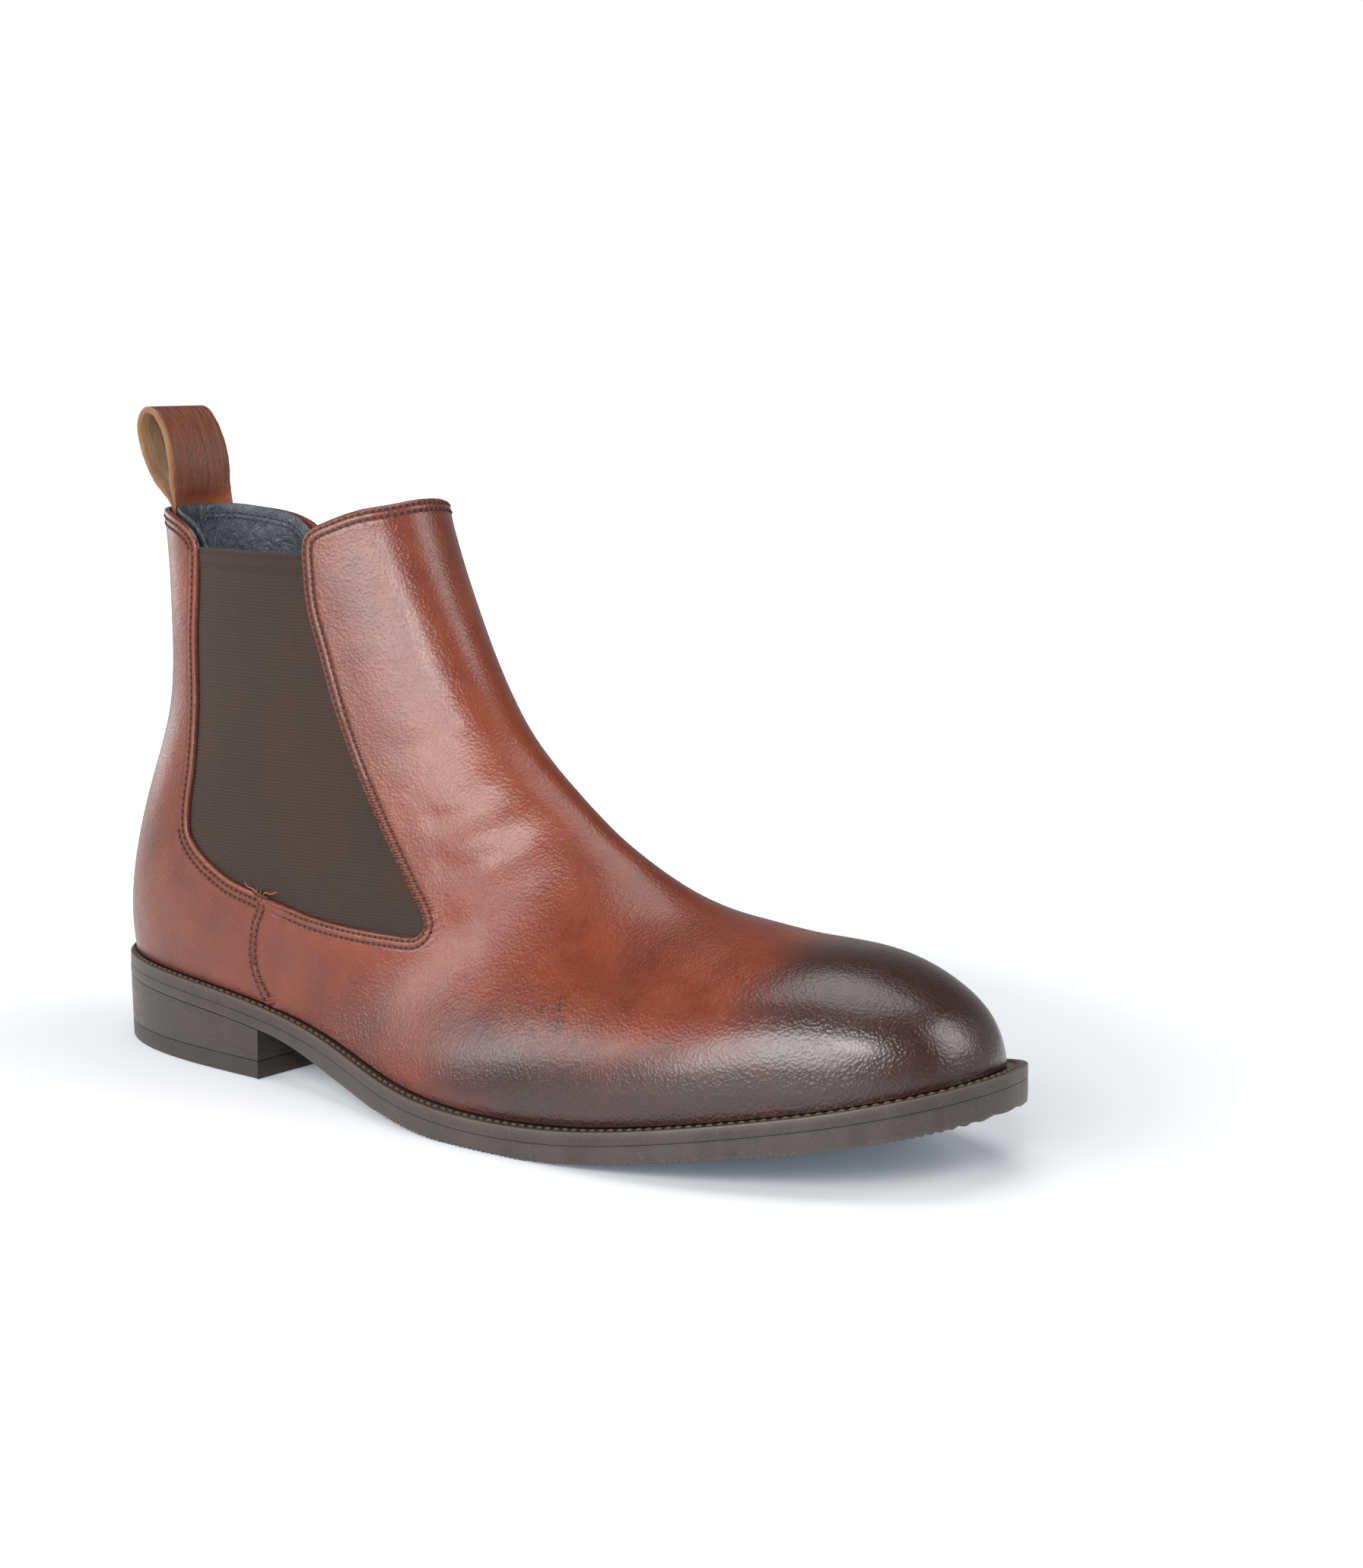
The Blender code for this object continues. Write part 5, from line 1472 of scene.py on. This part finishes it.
add_piece("lining_stitching", verts, faces, [LINING_THREAD, HOLE_SHADE], indices=kinds)


def tubes(paths, radius, sides=7):
    """Round strands along millimetre paths, closed at their ends."""
    verts = []
    faces = []
    ring = np.linspace(0.0, 2.0 * math.pi, sides, endpoint=False)
    for path in paths:
        p = np.asarray(path, float)
        tangent = np.gradient(p, axis=0)
        tangent /= np.linalg.norm(tangent, axis=1, keepdims=True)
        up = np.array([0.3, -0.9, 0.31])
        start = len(verts)
        for q, d in zip(p, tangent):
            a = np.cross(d, up)
            a /= np.linalg.norm(a)
            b = np.cross(d, a)
            verts += [q + radius * (a * math.cos(w) + b * math.sin(w)) for w in ring]
        for i in range(len(p) - 1):
            for j in range(sides):
                m = (j + 1) % sides
                k = start + i * sides
                faces.append((k + m, k + j, k + sides + j, k + sides + m))
        faces.append(tuple(start + j for j in range(sides)))
        faces.append(tuple(start + (len(p) - 1) * sides + j for j in reversed(range(sides))))
    return verts, faces


def bar_tack(medial):
    """Back-stitched tack where the side seam meets the elastic, with two loose ends."""
    knots = [[(75.6, 54.9), (77.6, 54.2), (79.6, 53.6), (81.6, 53.2)],
             [(75.8, 54.0), (77.8, 53.2), (79.8, 52.9), (81.4, 52.4)],
             [(77.3, 56.2), (77.9, 54.4), (78.1, 52.2), (78.3, 50.6)],
             [(78.9, 56.0), (79.0, 54.2), (79.4, 52.4), (79.3, 50.9)],
             [(72.3, 56.9), (74.0, 55.9), (75.9, 55.5), (78.0, 54.2)],
             [(79.6, 53.8), (81.4, 54.9), (83.2, 54.6), (85.0, 55.3)]]
    paths = []
    for i, k in enumerate(knots):
        line = turned(locate(curve_through(k, 7)), medial, math.pi)
        arch = np.sin(np.linspace(0.0, math.pi, len(line))) * (0.5 if i < 4 else 0.9) + 0.45
        paths.append(surface(line[:, 0], line[:, 1]) + normal(line[:, 0], line[:, 1]) * arch[:, None])
    return paths


tacks = bar_tack(False) + bar_tack(True)
short = [tacks[i] for i in (0, 1, 2, 3, 6, 7, 8, 9)]
loose = [tacks[i] for i in (4, 5, 10, 11)]
verts, faces = tubes(short, 0.24)
add_piece("seam_tack", verts, faces, [UPPER_THREAD])
verts, faces = tubes(loose, 0.13)
add_piece("loose_thread_ends", verts, faces, [LOOSE_THREAD])

# ---- sole ------------------------------------------------------------------------------------
def below(drop):
    return lambda x: WELT_TOP(x) - drop


def between(share, lift=0.0):
    """Height inside the outsole: 0 at its top face, 1 at its tread."""
    return lambda x: (1.0 - share) * (WELT_TOP(x) - WELT_THICK - 0.12) + share * outsole_bottom(x) + lift


def treaded(lift):
    """Height over the tread's ribs."""
    return lambda x: outsole_bottom(x) + lift + tread(x)


GROOVE = 0.5
# welt tone: darker over the top face with painted shade in the stitch groove; pale rows paint a highlight
# on the rounded top outer edge
layer("welt_strip", [
    (-7.4, 0.0, below(0.0), 0.3, 0.0), (-1.0, 0.0, below(0.0), 0.8, 0.0),
    (0.5, 0.0, below(0.0), 0.9, 0.0), (-0.50, GROOVE, below(0.0), 0.6, 0.0),
    (-0.26, GROOVE, below(0.32), 1.0, 0.0), (0.26, GROOVE, below(0.32), 1.0, 0.0),
    (0.50, GROOVE, below(0.0), 0.7, 0.0), (-0.85, 1.0, below(0.0), 0.55, 0.1),
    (-0.35, 1.0, below(0.04), 0.1, 0.6), (-0.09, 1.0, below(0.20), 0.0, 1.0),
    (0.0, 1.0, below(0.55), 0.0, 0.35), (0.02, 1.0, below(1.9), 0.0, 0.0),
    (0.03, 1.0, below(3.3), 0.0, 0.0), (0.0, 1.0, below(3.62), 0.25, 0.0),
    (-0.3, 1.0, below(3.66), 0.7, 0.0), (-7.4, 0.0, below(3.66), 0.5, 0.0),
], (), [WELT_INK], "dark_welt", ["welt"], closed_section=True)
layer("outsole_tread", [
    (-1.0, 0.0, between(0.0), 0.5, 0.0), (-0.3, 1.0, between(0.0), 0.7, 0.0),
    (0.0, 1.0, between(0.0, -0.04), 0.25, 0.0), (0.03, 1.0, between(0.12), 0.0, 0.0),
    (0.10, 1.0, between(0.5), 0.0, 0.0), (0.08, 1.0, between(0.75), 0.0, 0.0),
    (0.0, 1.0, treaded(0.12), 0.0, 0.25), (-0.3, 1.0, treaded(0.0), 0.4, 0.3),
    (-2.0, 1.0, treaded(0.0), 0.4, 0.1),
], (0, -1), [SOLE_INK], "dark_rubber", ["outsole"],
    cap_height={0: between(0.0), -1: treaded(0.0)})


def moved_in(plan, d):
    return plan - plan_normals(plan) * d


BREAST_POINTS = 60
sole_ring = offset_plan(REACH_RING)
outer_cut = int(np.argmax(sole_ring[:, 0] > HEEL_LENGTH))
inner_cut = len(sole_ring) - int(np.argmax(sole_ring[::-1, 0] > HEEL_LENGTH))
breast_y = np.linspace(sole_ring[outer_cut - 1, 1], sole_ring[inner_cut % RING_POINTS, 1],
                       BREAST_POINTS)
breast = np.column_stack([np.full(BREAST_POINTS, HEEL_LENGTH), breast_y])
HEEL_PLAN = np.vstack([sole_ring[:outer_cut], breast, sole_ring[inner_cut:]])


def heel_layer(name, rows, mats, node):
    """Heel lift from rows of (inset, level of X, dark, pale)."""
    rings = []
    tone = []
    for inset_by, level, dark, pale in rows:
        plan = moved_in(HEEL_PLAN, inset_by)
        rings.append((plan, level(HEEL_PLAN[:, 0])))
        tone.append((0.0, dark, pale))
    caps = {0: rows[0][1], -1: rows[-1][1]}
    return swept(name, rings, (0, -1), mats, [node], tone, cap_height=caps)


def lift_level(share, drop=0.0):
    """Height inside the heel block: 0 at the outsole, 1 at the top piece."""
    return lambda x: (1.0 - share) * (outsole_bottom(x) - 0.1) + share * (TOP_PIECE + 0.12) - drop


def flat_level(z):
    return lambda x: np.full(np.shape(x), float(z))


heel_layer("heel_stack", [
    (0.60, lift_level(0.0), 0.6, 0.0), (0.06, lift_level(0.0, 0.03), 0.45, 0.0),
    (0.0, lift_level(0.0, 0.30), 0.0, 0.05), (0.06, lift_level(0.35), 0.0, 0.0),
    (0.18, lift_level(0.7), 0.0, 0.0), (0.26, lift_level(1.0, -0.30), 0.0, 0.0),
    (0.29, lift_level(1.0, -0.03), 0.35, 0.0), (0.70, lift_level(1.0), 0.6, 0.0),
], [HEEL_INK], "heel_block")
heel_layer("heel_top_lift", [
    (0.70, flat_level(TOP_PIECE), 0.6, 0.0), (0.29, flat_level(TOP_PIECE - 0.03), 0.35, 0.0),
    (0.26, flat_level(TOP_PIECE - 0.3), 0.0, 0.0), (0.30, flat_level(2.4), 0.0, 0.0),
    (0.36, flat_level(0.5), 0.0, 0.1), (0.55, flat_level(0.12), 0.2, 0.5),
    (1.0, flat_level(0.0), 0.4, 0.2),
], [TOP_RUBBER], "heel_top_piece")

SOCK_BASE = GAP + INSOLE_THICK + GAP
sock_rows = [(-9.0, 0.0, SOCK_THICK), (-7.6, 0.0, SOCK_THICK - 0.08), (-7.15, 0.0, SOCK_THICK - 0.5),
             (-7.6, 0.0, 0.0), (-9.0, 0.0, 0.0)]
layer("sock_leather", [(b, s, below(-SOCK_BASE - up), 0.0, 0.1) for b, s, up in sock_rows],
      (0, -1), [LINING], "navy_lining_leather", ["sock_liner"],
      cap_height={0: below(-SOCK_BASE - SOCK_THICK), -1: below(-SOCK_BASE)})

WELT_ROUND = 710.0           # length of the groove round the boot
WELT_PITCH = 2.9
welt_path = offset_plan(GROOVE * REACH_RING)
welt_nodes = even_closed(welt_path, int(round(WELT_ROUND / WELT_PITCH)))
welt_nodes = np.vstack([welt_nodes, welt_nodes[:1]])
node_points = np.column_stack([welt_nodes, WELT_TOP(welt_nodes[:, 0]) - 0.10])
verts, faces, kinds = bars([(node_points, np.tile([0.0, 0.0, 1.0], (len(node_points), 1)))],
                           0.46, 0.34)
add_piece("welt_stitching", verts, faces, [WELT_THREAD, HOLE_SHADE],
          ["welt_stitch_cord"], indices=kinds)

# ---- pull loop ----------------------------------------------------------------------------------
STRAP_STATIONS = 132
STRAP_ACROSS = 18
STRAP_EDGE = 0.55            # radius of the strap's rounded edges
STRAP_TAIL = 1.05            # thickness of its skived ends inside the collar


def collar_shift(y):
    """How the back of the collar curves away at a distance from its middle."""
    q = SECTION_AT(locate(QUARTER_TOP[:1])[0, 0])
    c = (np.abs(y) / q[6]) ** (q[9] / 2.0)
    u = q[7] - q[7] * (1.0 - c ** 2) ** (1.0 / q[9])
    return u * (q[0] - q[2]), u * (q[1] - q[3])


def strap_path():
    root_front = [(20.15, 147.0), (20.0, 154.0), (19.75, 160.0), (19.9, 163.0)]
    root_back = [(18.95, 163.4), (18.75, 160.0), (18.75, 154.0), (18.9, 147.0)]
    knots = root_front + [(20.6, 166.0)] + LOOP_PROFILE[1:] + [(18.3, 165.6)] + root_back
    dense = curve_through(knots, 20)
    d = np.concatenate([[0.0], np.cumsum(np.linalg.norm(np.diff(dense, axis=0), axis=1))])
    s = np.linspace(0.0, d[-1], STRAP_STATIONS)
    return np.column_stack([np.interp(s, d, dense[:, 0]), np.interp(s, d, dense[:, 1])])


def pull_strap():
    path = strap_path()
    tangent = np.gradient(path, axis=0)
    tangent /= np.linalg.norm(tangent, axis=1)[:, None]
    out = np.column_stack([tangent[:, 1], -tangent[:, 0]])
    y = np.linspace(-1.0, 1.0, STRAP_ACROSS)
    y = np.sign(y) * np.abs(y) ** 0.85 * (LOOP_HALF_WIDTH - STRAP_EDGE)
    edge = np.array([0.75, 0.35, 0.0, -0.35, -0.75])
    section = [(v, 1.0, 0) for v in y]
    reach = LOOP_HALF_WIDTH - STRAP_EDGE + STRAP_EDGE * np.sqrt(1.0 - edge * edge)
    section += [(v, k, 1) for v, k in zip(reach, edge)]
    section += [(v, -1.0, 1) for v in y[::-1]]
    section += [(-v, k, 1) for v, k in zip(reach[::-1], edge[::-1])]
    verts = []
    tone = []
    for i in range(STRAP_STATIONS):
        x, z = path[i]
        half = 0.5 * (STRAP_TAIL + (LOOP_THICK - STRAP_TAIL) * blend_step(z, 163.5, 170.0))
        curl = 1.0 - 0.96 * blend_step(z, 161.5, 171.0)
        narrow = 1.0 - 0.045 * float(blend_step(z, 176.0, 190.0))
        for v, k, _ in section:
            dx, dz = collar_shift(min(abs(v), 27.0))
            fray = 0.12 * noise.noise(Vector((x / 1.3, v / 1.3, z / 1.3)))
            fray *= abs(v) > LOOP_HALF_WIDTH - 0.7
            verts.append((x + out[i, 0] * half * k + dx * curl, (v + fray) * narrow,
                          z + out[i, 1] * half * k + dz * curl * 0.5))
            worn = max(0.0, 1.0 - abs(LOOP_HALF_WIDTH - abs(v)) / 1.6)
            foot = float(1.0 - blend_step(z, 164.0, 171.0)) * (1.0 if k > 0 else 0.0)
            tone.append((0.0, worn * 0.7, foot))
    n = len(section)
    faces = []
    kinds = []
    for i in range(STRAP_STATIONS - 1):
        for j in range(n):
            m = (j + 1) % n
            faces.append((i * n + j, i * n + m, (i + 1) * n + m, (i + 1) * n + j))
            kinds.append(1 if (section[j][2] or section[m][2]) else 0)
    faces.append(tuple(reversed(range(n))))
    faces.append(tuple((STRAP_STATIONS - 1) * n + j for j in range(n)))
    kinds += [1, 1]
    ob = add_piece("pull_strap", verts, faces, [STRAP, FLESH],
                   ["pull_loop", "pull_loop_tail"], body=None, tone=np.array(tone), indices=kinds,
                   sharp=60.0)
    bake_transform(ob)


pull_strap()

# ---- parts inside the boot keep their solid shape ---------------------------------------------------
# the material of each: name, dark colour, pale colour, grain, roughness, metal
INSIDE = {
    "insole_board": rough_stock("bonded_board", (0.30, 0.20, 0.11), (0.48, 0.36, 0.22), 900.0, 0.75),
    "cork_filler": rough_stock("pressed_cork", (0.22, 0.11, 0.05), (0.50, 0.32, 0.17), 420.0, 0.8),
    "toe_puff": rough_stock("puff_board", (0.50, 0.42, 0.31), (0.66, 0.58, 0.45), 1100.0, 0.75),
    "heel_counter": rough_stock("counter_board", (0.44, 0.33, 0.22), (0.60, 0.48, 0.34), 800.0, 0.75),
    "shank": rough_stock("spring_steel", (0.42, 0.42, 0.43), (0.60, 0.60, 0.61), 1600.0, 0.3, 1.0),
}
for node_name, stock in INSIDE.items():
    for material_slot in frame["nodes"][node_name].material_slots:
        material_slot.material = stock

# ---- studio ------------------------------------------------------------------------------------------
FLOOR_HALF = 6.0
floor_mesh = bpy.data.meshes.new("floor")
floor_mesh.from_pydata([(-FLOOR_HALF, -FLOOR_HALF, 0.0), (FLOOR_HALF, -FLOOR_HALF, 0.0),
                        (FLOOR_HALF, FLOOR_HALF, 0.0), (-FLOOR_HALF, FLOOR_HALF, 0.0)], [], [(0, 1, 2, 3)])
floor = bpy.data.objects.new("floor", floor_mesh)
bpy.context.scene.collection.objects.link(floor)
paper = Nodes("floor_paper")
# the floor glows for camera rays: dim and bluish near the boot, painting a bluish tint into its shadow,
# and bright white further out
far = paper.node("ShaderNodeVectorMath", {0: paper.place()}, operation="LENGTH").outputs["Value"]
floor_glow = paper.range(far, 0.17, 0.42, 0.12, 1.10, True)
direct = paper.node("ShaderNodeLightPath").outputs["Is Camera Ray"]
sheet = paper.mix(paper.range(far, 0.4, 1.3), (0.82, 0.82, 0.825), (0.5, 0.5, 0.5))
glow = paper.mix(paper.range(far, 0.17, 0.28), (0.60, 0.80, 1.0), (1.0, 1.0, 1.0))
strength = paper.math("MULTIPLY", floor_glow, direct)
floor_mesh.materials.append(paper.set(Base_Color=sheet, Roughness=0.6, Emission_Color=glow,
                                      Emission_Strength=strength))
paper.shader.inputs["Specular IOR Level"].default_value = 0.1

world = bpy.data.worlds.new("studio")
bpy.context.scene.world = world
world.use_nodes = True
sky = world.node_tree
links = sky.links
background = sky.nodes["Background"]
direction = sky.nodes.new("ShaderNodeTexCoord")
split = sky.nodes.new("ShaderNodeSeparateXYZ")
ramp = sky.nodes.new("ShaderNodeMapRange")
ramp.inputs["From Min"].default_value = 0.05
ramp.inputs["From Max"].default_value = 0.55
ramp.inputs["To Min"].default_value = 0.38
ramp.inputs["To Max"].default_value = 0.06
links.new(direction.outputs["Generated"], split.inputs[0])
links.new(split.outputs["Z"], ramp.inputs["Value"])
seen = sky.nodes.new("ShaderNodeLightPath")
plain = sky.nodes.new("ShaderNodeMix")
links.new(seen.outputs["Is Camera Ray"], plain.inputs[0])
links.new(ramp.outputs["Result"], plain.inputs[2])
plain.inputs[3].default_value = 1.0
links.new(plain.outputs[0], background.inputs["Strength"])
background.inputs["Color"].default_value = (1.0, 1.0, 1.0, 1.0)


def softbox(name, at, size, power, aim_at=(0.0, 0.0, 0.07), tint=(1.0, 1.0, 1.0)):
    data = bpy.data.lights.new(name, "AREA")
    data.shape = "RECTANGLE"
    data.size = size[0]
    data.size_y = size[1]
    data.energy = power
    data.color = tint
    ob = bpy.data.objects.new(name, data)
    bpy.context.scene.collection.objects.link(ob)
    ob.location = at
    ob.rotation_euler = (Vector(aim_at) - Vector(at)).to_track_quat("-Z", "Y").to_euler()


softbox("key_side", (0.12, -1.18, 0.56), (1.10, 0.72), 17.0)
softbox("fill_rear", (-1.00, -0.85, 0.66), (0.80, 0.42), 5.2)
softbox("edge_left", (-1.25, 0.25, 0.24), (0.50, 0.45), 1.3)
softbox("key_front", (0.78, -1.05, 0.80), (0.34, 0.32), 6.4)
softbox("rim_right", (1.05, 0.50, 0.68), (0.62, 0.75), 6.2)
softbox("top", (0.0, 0.15, 1.6), (1.2, 1.2), 11.0)
bpy.context.scene.view_settings.view_transform = "Standard"

CAMERA_AT = np.array([677.6, -607.2, 211.7])
CAMERA_AIM = np.array([207.45, 0.0, 94.4])
camera_data = bpy.data.cameras.new("camera")
camera_data.sensor_width = 36.0
camera_data.lens = 66.1
camera = bpy.data.objects.new("camera", camera_data)
bpy.context.scene.collection.objects.link(camera)
camera.location = (CAMERA_AT - PLACE) * MM
aim = Vector((CAMERA_AIM - PLACE) * MM) - camera.location
camera.rotation_euler = aim.to_track_quat("-Z", "Y").to_euler()
bpy.context.scene.camera = camera
